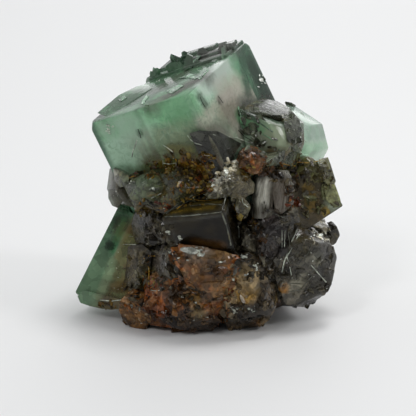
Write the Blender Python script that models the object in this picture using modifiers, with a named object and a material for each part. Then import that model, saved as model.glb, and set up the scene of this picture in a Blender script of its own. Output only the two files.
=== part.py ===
# A hand-sized cluster of green fluorite cubes on smoky and rusty quartz, standing on its broken base.
import bpy
import bmesh
import math
import random
from mathutils import Euler, Vector, noise

MM = 0.001

# Driving dimensions, in millimetres
BIG_CUBE = 20.0          # edge of the largest fluorite cube
SIDE_CUBE = 11.0         # edge of the cube that grows out of its right side
LEFT_CUBE = 19.0         # height of the cube that leans at the lower left
CONTACT_GAP = 0.3        # between two neighbouring pieces
ROCK_FLATS = 9           # broken flat faces on a lump
EDGE_WEAR = 0.45         # width of the rounded edge on a large cube
SMALL_WEAR = 0.25        # width of the rounded edge on a small crystal
STEP_WEAR = 0.15         # width of the rounded edge on a growth step

# Middles of the two cubes that are grown into one another
BIG_CENTRE = (-2.1, 6.0, 26.7)
SIDE_CENTRE = (9.8, 1.6, 26.0)

# Turns of the crystals about X, Y and Z, in degrees: X right, Y back and Z up before the turn
BIG_TURN = (14, -21, -33)
SIDE_TURN = (-8, 16, -33)
LEFT_TURN = (-29, 16, -29)
DARK_TURN = (14, -11, -11)
OLIVE_TURN = (-13, -27, 23)

# What is broken off the two cubes. A cut takes a corner or an edge off: its direction in the crystal's own
# axes, and its depth.
BIG_CUTS = (((1, 1, 1), 0.5), ((-1, -1, 1), 0.7), ((-1, 0, -1), 1.6))
SIDE_CUTS = (((1, 0, 0), 1.5), ((1, 0, 1), 1.6), ((1, 1, 0), 2.0), ((1, 0, -1), 2.0), ((1, -1, 1), 0.9),
             ((1, -1, 0), 0.8))

# Growth stairs at the big cube's back left corner: how far each reaches in from the left, in from the back,
# and down
STAIRS = ((3.4, 7.6, 1.0), (1.4, 6.0, 1.9), (1.2, 9.2, 0.5))

# Growth layers on its top face: left end, right end and front edge in its own axes, and how high each stands
LAYERS = ((-6.4, 9.3, 4.0, 0.45), (-5.2, 8.4, 6.0, 0.85), (-1.6, 5.0, 7.8, 1.3))

# The other fluorite crystals
CRYSTALS = {
    "left_green_cube": {
        "size": (10.5, 9.5, LEFT_CUBE), "at": (-11.0, 3.2, 8.0), "turn": LEFT_TURN, "wear": EDGE_WEAR,
        "cuts": (((0.28, 0.47, -0.84), 6.6), ((-1, 0, 1), 0.7), ((1, 1, 0), 1.5)),
        "finish": "green_fluorite",
    },
    "dark_cube": {
        "size": (9.8, 9.6, 9.8), "at": (-0.6, -5.8, 15.9), "turn": DARK_TURN, "wear": SMALL_WEAR,
        "cuts": (((-1, 1, 1), 1.6), ((-1, -1, -1), 2.0)),
        "finish": "smoky_fluorite",
    },
    "olive_cube": {
        "size": (10.8, 9.5, 9.5), "at": (12.8, 4.0, 17.8), "turn": OLIVE_TURN, "wear": SMALL_WEAR,
        "cuts": (((1, 0, 1), 0.5), ((1, -1, 1), 0.8), ((1, 1, 0), 2.2), ((0, -1, 1), 0.8)),
        "finish": "olive_fluorite",
    },
    "mint_crystal": {
        "size": (9.0, 8.0, 9.5), "at": (12.9, 10.6, 24.3), "turn": (-8, 24, -33), "wear": SMALL_WEAR,
        "cuts": (((1, 0, 1), 2.0), ((1, -1, 1), 1.0), ((1, 0, -1), 0.8)),
        "finish": "mint_fluorite",
    },
    "small_grey_crystal": {
        "size": (5.2, 5.4, 7.0), "at": (-12.5, 3.2, 20.2), "turn": (-10, 12, 20), "wear": SMALL_WEAR,
        "cuts": (((-1, 0, 1), 1.2), ((-1, -1, -1), 1.5), ((-1, 0, -1), 1.4), ((-1, -1, 1), 1.2)),
        "finish": "grey_fluorite",
    },
    "ledge_crystal": {
        "size": (10.5, 6.0, 5.6), "at": (-6.4, -3.6, 20.3), "turn": (16, -12, -18), "wear": SMALL_WEAR,
        "cuts": (((-1, -1, 1), 2.2), ((1, 0, 1), 1.4), ((0, -1, -1), 1.4), ((-1, 0, -1), 1.9),
                 ((0, -1, 1), 0.9)),
        "finish": "grey_fluorite",
    },
    "back_green_cube": {
        "size": (12.0, 11.0, 12.0), "at": (4.0, 11.4, 12.6), "turn": (20, 10, 32), "wear": EDGE_WEAR,
        "cuts": (((1, 1, 1), 1.4), ((-1, 1, -1), 2.4), ((0, 1, -1), 1.0)),
        "finish": "green_fluorite",
    },
    "back_left_cube": {
        "size": (8.0, 8.0, 8.0), "at": (-7.8, 12.6, 11.4), "turn": (-18, 24, -14), "wear": SMALL_WEAR,
        "cuts": (((-1, 1, 1), 1.2), ((-1, 1, -1), 1.8)),
        "finish": "grey_fluorite",
    },
    "back_olive_cube": {
        "size": (6.4, 6.2, 6.8), "at": (-5.2, 15.0, 19.2), "turn": (10, 30, 22), "wear": SMALL_WEAR,
        "cuts": (((-1, 1, 1), 0.8), ((1, 1, -1), 1.2)),
        "finish": "olive_fluorite",
    },
}

# Quartz crystals and broken quartz: the same kinds of entry
QUARTZ = {
    "rusty_quartz_block": {
        "size": (9.4, 6.6, 6.4), "at": (-0.5, -9.6, 10.6), "turn": (-8, 8, 8), "wear": EDGE_WEAR,
        "cuts": (((-1, -1, 0), 1.6), ((1, -1, -1), 1.9), ((-1, 0, -1), 2.4), ((0, -1, 1), 0.9),
                 ((1, 0, 1), 0.8)),
        "finish": "rusty_quartz",
    },
    "smoky_fan_crystal": {
        "size": (10.6, 9.5, 12.2), "at": (14.2, -2.0, 8.7), "turn": (6, -20, 14), "wear": SMALL_WEAR,
        "cuts": (((1, 0, 1), 2.8), ((1, 0, -1), 4.0), ((-1, 0, -1), 2.4), ((1, -1, 0), 1.8),
                 ((0, -1, -1), 1.6), ((-1, -1, 1), 1.6), ((0, 1, -1), 2.0)),
        "finish": "smoky_quartz",
    },
    "cream_quartz": {
        "size": (5.0, 4.2, 4.0), "at": (15.9, 3.4, 12.2), "turn": (10, 26, 12), "wear": SMALL_WEAR,
        "cuts": (((1, -1, 1), 0.9), ((-1, -1, -1), 1.0), ((1, 1, 0), 0.8)),
        "finish": "cream_quartz",
    },
    "dark_chip": {
        "size": (2.6, 2.4, 3.0), "at": (18.9, 3.2, 11.9), "turn": (8, -22, 18), "wear": SMALL_WEAR,
        "cuts": (((1, 0, -1), 0.8), ((-1, -1, 1), 0.5)),
        "finish": "smoky_quartz",
    },
    "silky_blade_left": {
        "size": (2.6, 3.6, 7.0), "at": (8.1, -5.4, 20.7), "turn": (-6, 6, 18), "wear": SMALL_WEAR,
        "cuts": (((-1, -1, 1), 1.3), ((1, 0, -1), 0.9), ((-1, 0, 1), 0.6)),
        "finish": "silky_quartz",
    },
    "silky_blade_right": {
        "size": (2.5, 3.6, 6.6), "at": (10.9, -4.6, 21.0), "turn": (-5, 10, 24), "wear": SMALL_WEAR,
        "cuts": (((1, -1, 1), 1.2), ((1, 0, -1), 1.0), ((-1, -1, -1), 0.6)),
        "finish": "silky_quartz",
    },
    "dark_prism": {
        "size": (5.6, 5.0, 12.0), "at": (9.0, -5.2, 12.4), "turn": (4, 6, 38), "wear": SMALL_WEAR,
        "cuts": (((-1, -1, 1), 2.0), ((1, -1, -1), 1.2), ((1, 0, 1), 1.0), ((-1, 0, -1), 1.4)),
        "finish": "smoky_quartz",
    },
    "glassy_quartz_tooth": {
        "size": (5.0, 5.4, 5.2), "at": (-10.6, -5.4, 3.0), "turn": (10, 12, -20), "wear": SMALL_WEAR,
        "cuts": (((-1, -1, -1), 1.3), ((-1, 0, 1), 0.9), ((1, -1, 1), 0.8)),
        "finish": "glassy_quartz",
    },
}

# Rounded and broken lumps: overall size, how much the surface is broken, and a seed for its shape
ROCKS = {
    "sugary_ridge": {
        "size": (10.0, 7.0, 6.4), "at": (2.4, -6.2, 21.6), "turn": (0, -38, -12), "rough": 0.30, "seed": 5,
        "detail": 2, "finish": "sugary_quartz",
    },
    "rust_knob": {
        "size": (4.8, 4.4, 3.8), "at": (6.3, -6.4, 26.4), "turn": (0, 14, 10), "rough": 0.28, "seed": 8,
        "detail": 2, "finish": "rusty_quartz",
    },
    "grey_quartz_lump": {
        "size": (9.4, 11.0, 13.8), "at": (6.2, -6.6, 6.0), "turn": (0, -12, 0), "rough": 0.26, "seed": 21,
        "detail": 2, "finish": "grey_quartz",
    },
    "brown_quartz_foot": {
        "size": (15.0, 13.0, 11.0), "at": (-3.0, -6.2, 4.8), "turn": (-14, 4, 8), "rough": 0.22, "seed": 33,
        "detail": 2, "finish": "rusty_quartz",
    },
    "back_quartz_lump": {
        "size": (13.0, 9.0, 12.0), "at": (-2.0, 12.0, 5.0), "turn": (0, 0, 20), "rough": 0.26, "seed": 14,
        "detail": 2, "finish": "grey_quartz",
    },
    "matrix_rock": {
        "size": (23.0, 22.0, 27.0), "at": (2.4, 4.6, 9.6), "turn": (0, 0, 12), "rough": 0.24, "seed": 47,
        "detail": 3, "finish": "matrix_rock",
    },
}

# Colour, roughness and metallic value of each finish
FINISHES = {
    "green_fluorite": ((0.22, 0.52, 0.33), 0.08, 0.0),
    "mint_fluorite": ((0.55, 0.80, 0.62), 0.08, 0.0),
    "olive_fluorite": ((0.19, 0.18, 0.10), 0.12, 0.0),
    "grey_fluorite": ((0.22, 0.24, 0.19), 0.12, 0.0),
    "smoky_fluorite": ((0.05, 0.045, 0.035), 0.10, 0.0),
    "smoky_quartz": ((0.09, 0.085, 0.075), 0.12, 0.0),
    "rusty_quartz": ((0.32, 0.14, 0.05), 0.25, 0.0),
    "grey_quartz": ((0.20, 0.16, 0.11), 0.2, 0.0),
    "glassy_quartz": ((0.24, 0.14, 0.06), 0.08, 0.0),
    "cream_quartz": ((0.62, 0.56, 0.42), 0.4, 0.0),
    "silky_quartz": ((0.30, 0.29, 0.27), 0.35, 0.0),
    "sugary_quartz": ((0.36, 0.33, 0.26), 0.45, 0.0),
    "matrix_rock": ((0.10, 0.07, 0.04), 0.6, 0.0),
}


def clear_scene():
    for old in list(bpy.data.objects):
        bpy.data.objects.remove(old, do_unlink=True)


def new_collection(name):
    made = bpy.data.collections.new(name)
    bpy.context.scene.collection.children.link(made)
    return made


def finish_material(slot):
    found = bpy.data.materials.get(slot)
    if found:
        return found
    colour, roughness, metallic = FINISHES[slot]
    made = bpy.data.materials.new(slot)
    made.use_nodes = True
    shader = made.node_tree.nodes["Principled BSDF"]
    shader.inputs["Base Color"].default_value = (*colour, 1)
    shader.inputs["Roughness"].default_value = roughness
    shader.inputs["Metallic"].default_value = metallic
    return made


def turned(degrees):
    return tuple(math.radians(angle) for angle in degrees)


def as_guide(piece):
    """Keeps a block that only cuts or joins out of the finished model."""
    piece.hide_render = True
    piece.display_type = "WIRE"
    return piece


def slice_off(bm, direction, depth):
    """Cuts the mesh flat, depth inside its furthest point along the direction."""
    normal = Vector(direction).normalized()
    furthest = max(vertex.co.dot(normal) for vertex in bm.verts)
    geometry = bm.verts[:] + bm.edges[:] + bm.faces[:]
    cut = bmesh.ops.bisect_plane(
        bm, geom=geometry, plane_co=normal * (furthest - depth), plane_no=normal, clear_outer=True
    )
    rim = [item for item in cut["geom_cut"] if isinstance(item, bmesh.types.BMEdge)]
    bmesh.ops.edgenet_fill(bm, edges=rim)
    bmesh.ops.recalc_face_normals(bm, faces=bm.faces)


def add_object(name, bm, at, turn, finish, collection):
    mesh = bpy.data.meshes.new(name)
    bm.to_mesh(mesh)
    bm.free()
    made = bpy.data.objects.new(name, mesh)
    made.location = Vector(at) * MM
    made.rotation_euler = turned(turn)
    mesh.materials.append(finish_material(finish))
    collection.objects.link(made)
    return made


def add_crystal(name, size, at, turn, wear, cuts, finish, collection):
    """A block with some corners and edges broken off, and the rest of its edges worn round."""
    bm = bmesh.new()
    bmesh.ops.create_cube(bm, size=1)
    bmesh.ops.scale(bm, vec=Vector(size) * MM, verts=bm.verts)
    for direction, depth in cuts:
        slice_off(bm, direction, depth * MM)
    made = add_object(name, bm, at, turn, finish, collection)
    bevel = made.modifiers.new("worn edges", "BEVEL")
    bevel.width = wear * MM
    bevel.segments = 2
    bevel.limit_method = "ANGLE"
    return made


def add_rock(name, size, at, turn, rough, seed, detail, finish, collection):
    """A ball broken by noise and by a few flat faces."""
    bm = bmesh.new()
    bmesh.ops.create_icosphere(bm, subdivisions=detail, radius=0.5)
    shift = Vector((seed, seed * 2, seed * 3))
    for vertex in bm.verts:
        swell = noise.noise(vertex.co * 2.2 + shift) + 0.5 * noise.noise(vertex.co * 5.0 + shift)
        vertex.co *= 1 + rough * swell
    dice = random.Random(seed)
    for _ in range(ROCK_FLATS):
        direction = [dice.uniform(-1, 1) for _ in range(3)]
        slice_off(bm, direction, dice.uniform(0.05, 0.10))
    bmesh.ops.scale(bm, vec=Vector(size) * MM, verts=bm.verts)
    return add_object(name, bm, at, turn, finish, collection)


def grown_copy(piece, cutters):
    """A guide that is larger than the piece by the contact gap on every side."""
    guide = piece.copy()
    guide.name = piece.name + "_socket"
    guide.scale = [(side + 2 * CONTACT_GAP * MM) / side for side in piece.dimensions]
    cutters.objects.link(guide)
    return as_guide(guide)


def near(first, second):
    """Whether the boxes of two objects meet."""
    def box(obj):
        corners = [obj.matrix_world @ Vector(corner) for corner in obj.bound_box]
        return [(min(c[i] for c in corners), max(c[i] for c in corners)) for i in range(3)]
    return all(a[0] <= b[1] and b[0] <= a[1] for a, b in zip(box(first), box(second)))


def combine(piece, other, operation):
    change = piece.modifiers.new(operation.lower(), "BOOLEAN")
    change.operation = operation
    change.solver = "EXACT"
    change.object = other


def main_body(bm):
    """Keeps the largest connected part of the mesh, so that a cut leaves no loose splinters."""
    unseen = set(bm.verts)
    parts = []
    while unseen:
        stack = [unseen.pop()]
        part = set(stack)
        while stack:
            for edge in stack.pop().link_edges:
                for vertex in edge.verts:
                    if vertex in unseen:
                        unseen.discard(vertex)
                        part.add(vertex)
                        stack.append(vertex)
        parts.append(part)
    keep = max(parts, key=len)
    bmesh.ops.delete(bm, geom=[vertex for vertex in bm.verts if vertex not in keep], context="VERTS")


def settle(piece):
    """Applies the piece's modifiers, and drops what a cut left loose."""
    graph = bpy.context.evaluated_depsgraph_get()
    mesh = bpy.data.meshes.new_from_object(piece.evaluated_get(graph))
    bm = bmesh.new()
    bm.from_mesh(mesh)
    bmesh.ops.remove_doubles(bm, verts=bm.verts, dist=0.002 * MM)
    main_body(bm)
    bm.to_mesh(mesh)
    bm.free()
    piece.modifiers.clear()
    piece.data = mesh


def own_axes(turn):
    """The matrix that takes a place in a crystal's own axes to the cluster's."""
    return Euler(turned(turn)).to_matrix()


def add_guide(name, size, place, cutters):
    """A block that is joined to the big cube or taken out of it; its place is in the big cube's own axes."""
    at = Vector(BIG_CENTRE) + own_axes(BIG_TURN) @ Vector(place)
    return as_guide(add_crystal(name, size, at, BIG_TURN, STEP_WEAR, (), "green_fluorite", cutters))


def add_cube_pair(pieces, cutters):
    """The largest cube, with its growth stairs and layers, and the cube that grows out of its right side."""
    half = BIG_CUBE / 2
    size = (BIG_CUBE, BIG_CUBE, BIG_CUBE)
    big = add_crystal(
        "green_cube_pair", size, BIG_CENTRE, BIG_TURN, EDGE_WEAR, BIG_CUTS, "green_fluorite", pieces
    )
    past = 2    # how far a stair's block stands out past the cube
    for number, (across, deep, down) in enumerate(STAIRS, 1):
        size = (across + past, deep + past, down + past)
        place = (-half + (across - past) / 2, half - (deep - past) / 2, half - (down - past) / 2)
        combine(big, add_guide(f"stair_{number}", size, place, cutters), "DIFFERENCE")
    for number, (left, right, front, height) in enumerate(LAYERS, 1):
        back = half - 0.15 * number
        deep = 1.5    # how far a layer's block reaches down into the cube
        size = (right - left, back - front, height + deep)
        place = ((left + right) / 2, (front + back) / 2, half + (height - deep) / 2)
        combine(big, add_guide(f"layer_{number}", size, place, cutters), "UNION")
    low = add_guide("low_step", (3.0, 8.0, 6.0), (-half + 1.2, 3.6, 1.4), cutters)
    combine(big, low, "UNION")
    size = (SIDE_CUBE, SIDE_CUBE * 0.85, SIDE_CUBE * 0.9)
    side = add_crystal(
        "side_cube", size, SIDE_CENTRE, SIDE_TURN, SMALL_WEAR, SIDE_CUTS, "green_fluorite", cutters
    )
    combine(big, as_guide(side), "UNION")
    bpy.context.view_layer.update()
    settle(big)
    return big


def stand_on_origin(made):
    """Moves the cluster so that the middle of its box is over the origin."""
    corners = [piece.matrix_world @ vertex.co for piece in made for vertex in piece.data.vertices]
    for axis in (0, 1):
        low = min(corner[axis] for corner in corners)
        high = max(corner[axis] for corner in corners)
        for piece in made:
            piece.location[axis] -= (low + high) / 2


def add_floor_cutter(cutters):
    """A slab under the ground, which breaks flat what reaches below it."""
    bm = bmesh.new()
    bmesh.ops.create_cube(bm, size=1)
    bmesh.ops.scale(bm, vec=Vector((80, 80, 20)) * MM, verts=bm.verts)
    return as_guide(add_object("floor_cutter", bm, (0, 0, -10), (0, 0, 0), "matrix_rock", cutters))


def main():
    clear_scene()
    pieces = new_collection("fluorite_cluster")
    cutters = new_collection("cutters")
    made = [add_cube_pair(pieces, cutters)]
    for name, values in {**CRYSTALS, **QUARTZ}.items():
        made.append(add_crystal(name, collection=pieces, **values))
    for name, values in ROCKS.items():
        made.append(add_rock(name, collection=pieces, **values))
    bpy.context.view_layer.update()
    sockets = [grown_copy(piece, cutters) for piece in made]
    floor = add_floor_cutter(cutters)
    bpy.context.view_layer.update()
    for place, piece in enumerate(made):
        for socket in sockets[:place]:
            if near(piece, socket):
                combine(piece, socket, "DIFFERENCE")
        if near(piece, floor):
            combine(piece, floor, "DIFFERENCE")
    for piece in made:
        settle(piece)
    stand_on_origin(made)


main()
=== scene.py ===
# Looks of the fluorite cluster: clear green and smoky cubes on rust stained quartz.
import bpy
import math
import random
from mathutils import Euler, Matrix, Vector
from mathutils.bvhtree import BVHTree


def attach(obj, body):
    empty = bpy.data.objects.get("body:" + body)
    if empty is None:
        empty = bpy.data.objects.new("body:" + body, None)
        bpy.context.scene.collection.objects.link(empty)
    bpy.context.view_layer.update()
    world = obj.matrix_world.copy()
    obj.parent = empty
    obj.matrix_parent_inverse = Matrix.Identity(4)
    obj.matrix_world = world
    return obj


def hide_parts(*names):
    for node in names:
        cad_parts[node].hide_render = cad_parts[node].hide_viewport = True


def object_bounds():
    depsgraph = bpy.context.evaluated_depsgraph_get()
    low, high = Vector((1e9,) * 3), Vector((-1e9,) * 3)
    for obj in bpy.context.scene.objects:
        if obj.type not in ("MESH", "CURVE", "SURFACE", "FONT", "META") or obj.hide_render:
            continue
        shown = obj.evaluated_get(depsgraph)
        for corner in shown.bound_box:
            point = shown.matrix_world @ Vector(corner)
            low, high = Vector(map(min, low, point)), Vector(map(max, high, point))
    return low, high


mm = 0.001

print("loading the cluster")
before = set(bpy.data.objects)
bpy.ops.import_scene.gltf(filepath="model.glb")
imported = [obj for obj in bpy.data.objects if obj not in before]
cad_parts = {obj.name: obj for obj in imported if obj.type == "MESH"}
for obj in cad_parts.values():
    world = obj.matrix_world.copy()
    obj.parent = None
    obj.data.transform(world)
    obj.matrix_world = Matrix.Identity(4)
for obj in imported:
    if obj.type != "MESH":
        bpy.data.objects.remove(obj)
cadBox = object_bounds()


# Small helpers

def deselectAll():
    bpy.ops.object.select_all(action="DESELECT")


def activate(piece):
    deselectAll()
    piece.select_set(True)
    bpy.context.view_layer.objects.active = piece


def applyModifier(piece, kind, **settings):
    change = piece.modifiers.new(kind.lower(), kind)
    for key, value in settings.items():
        setattr(change, key, value)
    activate(piece)
    bpy.ops.object.modifier_apply(modifier=change.name)


def removePiece(piece):
    bpy.data.objects.remove(piece, do_unlink=True)


def tone(red, green, blue):
    # a colour as a picture editor shows it, 0 to 255, made linear
    linear = []
    for part in (red, green, blue):
        part /= 255
        linear.append(part / 12.92 if part <= 0.04045 else ((part + 0.055) / 1.055) ** 2.4)
    return (*linear, 1)


def turned(degrees):
    return tuple(math.radians(angle) for angle in degrees)


def cleanCopy(node, name):
    # a CAD node's mesh is loose triangles: the copy is merged, and its flat faces are made whole
    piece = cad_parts[node].copy()
    piece.data = piece.data.copy()
    piece.name = name
    bpy.context.scene.collection.objects.link(piece)
    activate(piece)
    if piece.data.has_custom_normals:
        bpy.ops.mesh.customdata_custom_splitnormals_clear()
    piece.data.materials.clear()
    bpy.ops.object.mode_set(mode="EDIT")
    bpy.ops.mesh.select_all(action="SELECT")
    bpy.ops.mesh.remove_doubles(threshold=0.002 * mm)
    bpy.ops.mesh.mark_sharp(clear=True)
    bpy.ops.mesh.dissolve_limited(angle_limit=math.radians(0.6))
    bpy.ops.object.mode_set(mode="OBJECT")
    return piece


def joinPieces(pieces, name):
    deselectAll()
    for piece in pieces:
        piece.select_set(True)
    bpy.context.view_layer.objects.active = pieces[0]
    bpy.ops.object.join()
    joined = bpy.context.active_object
    joined.name = name
    return joined


def setPlace(piece):
    activate(piece)
    bpy.ops.object.transform_apply(location=True, rotation=True, scale=True)


def keepInBox(piece):
    # nothing reaches past the box of the CAD, or below the ground
    low, high = cadBox
    for vertex in piece.data.vertices:
        vertex.co = Vector([min(max(value, low[i]), high[i]) for i, value in enumerate(vertex.co)])


finished = []


def finishPiece(piece, material, node=None, smooth=28):
    setPlace(piece)
    keepInBox(piece)
    piece.data.materials.clear()
    piece.data.materials.append(material)
    activate(piece)
    if smooth:
        bpy.ops.object.shade_smooth_by_angle(angle=math.radians(smooth))
    else:
        bpy.ops.object.shade_flat()
    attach(piece, "root")
    if node:
        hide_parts(node)
    finished.append(piece)
    return piece


# Camera, lights and floor

view = {"aim": (-0.14, -3.15, 17.1), "tiltDown": 16, "distance": 358.2, "lens": 200, "sensor": 36, "picture": 416}


def makeCamera():
    tilt = math.radians(view["tiltDown"])
    toCamera = Vector((0, -math.cos(tilt), math.sin(tilt)))
    bpy.ops.object.camera_add(
        location=(Vector(view["aim"]) + toCamera * view["distance"]) * mm,
        rotation=(math.radians(90) - tilt, 0, 0),
    )
    camera = bpy.context.active_object
    camera.name = "camera"
    camera.data.lens = view["lens"]
    camera.data.sensor_width = view["sensor"]
    camera.data.clip_start = 0.01
    bpy.context.scene.camera = camera
    bpy.context.view_layer.update()
    return camera


studio = {"front": 0.12, "back": 0.77}
lights = {
    # name: place in mm, width in mm, power in watts
    "key": ((80, 90, 430), 130, 0.74),
    "frontTop": ((-170, -270, 330), 90, 0.28),
    "rightTop": ((300, -120, 300), 90, 0.26),
    "behind": ((40, 430, 210), 300, 0.42),
}


def makeLights():
    for name, (place, size, power) in lights.items():
        bpy.ops.object.light_add(type="AREA", location=Vector(place) * mm)
        light = bpy.context.active_object
        light.name = name
        light.data.size = size * mm
        light.data.energy = power
        toCluster = Vector((0, 0, 18 * mm)) - light.location
        light.rotation_euler = toCluster.to_track_quat("-Z", "Y").to_euler()
    # the studio: dark on the camera's side, pale behind the cluster and above it
    world = bpy.data.worlds.new("studio")
    bpy.context.scene.world = world
    world.use_nodes = True
    nodes = world.node_tree.nodes
    links = world.node_tree.links
    place = nodes.new("ShaderNodeTexCoord")
    parts = nodes.new("ShaderNodeSeparateXYZ")
    depth = nodes.new("ShaderNodeMapRange")
    depth.inputs["From Min"].default_value = -0.9
    depth.inputs["From Max"].default_value = 0.8
    depth.inputs["To Min"].default_value = studio["front"]
    depth.inputs["To Max"].default_value = studio["back"]
    links.new(place.outputs["Generated"], parts.inputs[0])
    links.new(parts.outputs["Y"], depth.inputs["Value"])
    nodes["Background"].inputs["Color"].default_value = (0.97, 0.985, 1, 1)
    links.new(depth.outputs["Result"], nodes["Background"].inputs["Strength"])


def makeFloor():
    bpy.ops.mesh.primitive_plane_add(size=3)
    floor = bpy.context.active_object
    floor.name = "floor"
    material = bpy.data.materials.new("paleSweep")
    material.use_nodes = True
    shader = material.node_tree.nodes["Principled BSDF"]
    shader.inputs["Base Color"].default_value = (0.8, 0.8, 0.8, 1)
    shader.inputs["Roughness"].default_value = 0.7
    shader.inputs["Specular IOR Level"].default_value = 0.15
    floor.data.materials.append(material)


print("camera, lights and floor")
deselectAll()
camera = makeCamera()
makeLights()
makeFloor()
bpy.context.scene.view_settings.view_transform = "Standard"


# Where a point of the photograph lies on the cluster

def surfaceTree(pieces):
    points = []
    faces = []
    for piece in pieces:
        start = len(points)
        points += [piece.matrix_world @ vertex.co for vertex in piece.data.vertices]
        faces += [[start + index for index in face.vertices] for face in piece.data.polygons]
    return BVHTree.FromPolygons(points, faces)


surface = {"tree": surfaceTree(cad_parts.values())}


def seenAt(x, y):
    # the point of the surface under a point of the photograph, and its normal
    focal = view["lens"] / view["sensor"] * view["picture"]
    middle = view["picture"] / 2
    direction = Vector(((x - middle) / focal, (middle - y) / focal, -1)).normalized()
    direction.rotate(camera.matrix_world.to_quaternion())
    place, normal, _, _ = surface["tree"].ray_cast(camera.matrix_world.translation, direction)
    return place, normal


def glintNormal(place):
    # the way a facet faces when it mirrors the key light into the camera
    toLight = (Vector(lights["key"][0]) * mm - place).normalized()
    toCamera = (camera.matrix_world.translation - place).normalized()
    return (toLight + toCamera).normalized()


# The axes of a crystal, read from its largest faces

def crystalAxes(piece, without=()):
    # each entry of faces: direction, area, and how far the face is from the origin along it
    faces = []
    for face in piece.data.polygons:
        direction = face.normal.copy()
        if any(abs(direction.dot(axis)) > 0.985 for axis in without):
            continue
        for entry in faces:
            if entry[0].dot(direction) > 0.9995 and abs(entry[2] - face.center.dot(direction)) < 0.1 * mm:
                entry[1] += face.area
                break
        else:
            faces.append([direction, face.area, face.center.dot(direction)])
    faces.sort(key=lambda entry: -entry[1])
    first = faces[0][0]
    across = [entry for entry in faces if abs(entry[0].dot(first)) < 0.2]
    second = max(across, key=lambda entry: entry[1])[0]
    second = (second - first * second.dot(first)).normalized()
    axes = [first, second, first.cross(second)]
    up = max(axes, key=lambda axis: abs(axis.z))
    axes.remove(up)
    right = max(axes, key=lambda axis: abs(axis.x))
    up = up if up.z > 0 else -up
    right = right if right.x > 0 else -right
    back = up.cross(right)
    turn = Matrix((right, back, up)).transposed()
    low = []
    high = []
    for axis in (right, back, up):
        reach = [vertex.co.dot(axis) for vertex in piece.data.vertices]
        ends = []
        for side, fallback in ((-1, -min(reach)), (1, max(reach))):
            flats = [entry for entry in faces if entry[0].dot(axis * side) > 0.9995]
            ends.append(max(flats, key=lambda entry: entry[1])[2] if flats else fallback)
        low.append(-ends[0])
        high.append(ends[1])
    return {"turn": turn, "low": Vector(low), "high": Vector(high)}


def cornerOf(axes, sides):
    # a corner, edge middle or middle of the crystal: -1, 0 or 1 along each of its axes
    local = Vector([
        (axes["low"][i] + axes["high"][i]) / 2 + side * (axes["high"][i] - axes["low"][i]) / 2
        for i, side in enumerate(sides)
    ])
    return axes["turn"] @ local


# Node helpers

def addNode(tree, kind, values=None, **settings):
    node = tree.nodes.new(kind)
    for key, value in settings.items():
        setattr(node, key, value)
    for key, value in (values or {}).items():
        if isinstance(value, bpy.types.NodeSocket):
            tree.links.new(value, node.inputs[key])
        else:
            node.inputs[key].default_value = value
    return node


def addMath(tree, operation, first, second=0.0, clamp=False):
    values = {0: first, 1: second}
    return addNode(tree, "ShaderNodeMath", values, operation=operation, use_clamp=clamp).outputs[0]


def addMix(tree, factor, first, second, blend="MIX"):
    values = {0: factor, 6: first, 7: second}
    return addNode(tree, "ShaderNodeMix", values, data_type="RGBA", blend_type=blend).outputs[2]


def addRange(tree, value, low, high, start=0.0, end=1.0):
    values = {"Value": value, "From Min": low, "From Max": high, "To Min": start, "To Max": end}
    return addNode(tree, "ShaderNodeMapRange", values, interpolation_type="SMOOTHSTEP").outputs["Result"]


def addNoise(tree, vector, scale, detail=4.0, roughness=0.55, distortion=0.0):
    values = {"Vector": vector, "Scale": scale, "Detail": detail, "Roughness": roughness, "Distortion": distortion}
    return addNode(tree, "ShaderNodeTexNoise", values).outputs["Fac"]


def newGroup(name, inputs, outputs):
    group = bpy.data.node_groups.new(name, "ShaderNodeTree")
    for label, kind, value in inputs:
        socket = group.interface.new_socket(name=label, in_out="INPUT", socket_type="NodeSocket" + kind)
        if value is not None:
            socket.default_value = value
    for label, kind in outputs:
        group.interface.new_socket(name=label, in_out="OUTPUT", socket_type="NodeSocket" + kind)
    return group, group.nodes.new("NodeGroupInput").outputs, group.nodes.new("NodeGroupOutput")


def placeGroup(tree, group, values):
    node = tree.nodes.new("ShaderNodeGroup")
    node.node_tree = group
    for key, value in values.items():
        if isinstance(value, bpy.types.NodeSocket):
            tree.links.new(value, node.inputs[key])
        else:
            node.inputs[key].default_value = value
    return node.outputs


# Effects that several finishes share

def makeZoneGroup():
    # a layer that follows a crystal face: 1 nearer than Depth, with a soft and wavy inner side
    group, given, out = newGroup(
        "growthZone",
        [("Vector", "Vector", None), ("Distance", "Float", 0.0), ("Depth", "Float", 3.0), ("Soft", "Float", 0.6),
         ("Wave", "Float", 0.8), ("Scale", "Float", 0.5)],
        [("Mask", "Float")],
    )
    noise = addNoise(group, given["Vector"], given["Scale"])
    shift = addMath(group, "MULTIPLY", addMath(group, "SUBTRACT", noise, 0.5), given["Wave"])
    distance = addMath(group, "ADD", given["Distance"], shift)
    over = addMath(group, "SUBTRACT", given["Depth"], distance)
    mask = addMath(group, "ADD", addMath(group, "DIVIDE", over, given["Soft"]), 0.5, clamp=True)
    group.links.new(mask, out.inputs["Mask"])
    return group


def makeMottleGroup():
    # cloudy patches: Amount is the share they cover
    group, given, out = newGroup(
        "mottle",
        [("Vector", "Vector", None), ("Scale", "Float", 1.0), ("Amount", "Float", 0.5), ("Soft", "Float", 0.15),
         ("Warp", "Float", 0.4)],
        [("Mask", "Float")],
    )
    noise = addNoise(group, given["Vector"], given["Scale"], 6, 0.6, given["Warp"])
    high = addMath(group, "SUBTRACT", 0.82, addMath(group, "MULTIPLY", given["Amount"], 0.62))
    over = addMath(group, "SUBTRACT", noise, high)
    mask = addMath(group, "ADD", addMath(group, "DIVIDE", over, given["Soft"]), 0.5, clamp=True)
    group.links.new(mask, out.inputs["Mask"])
    return group


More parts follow.
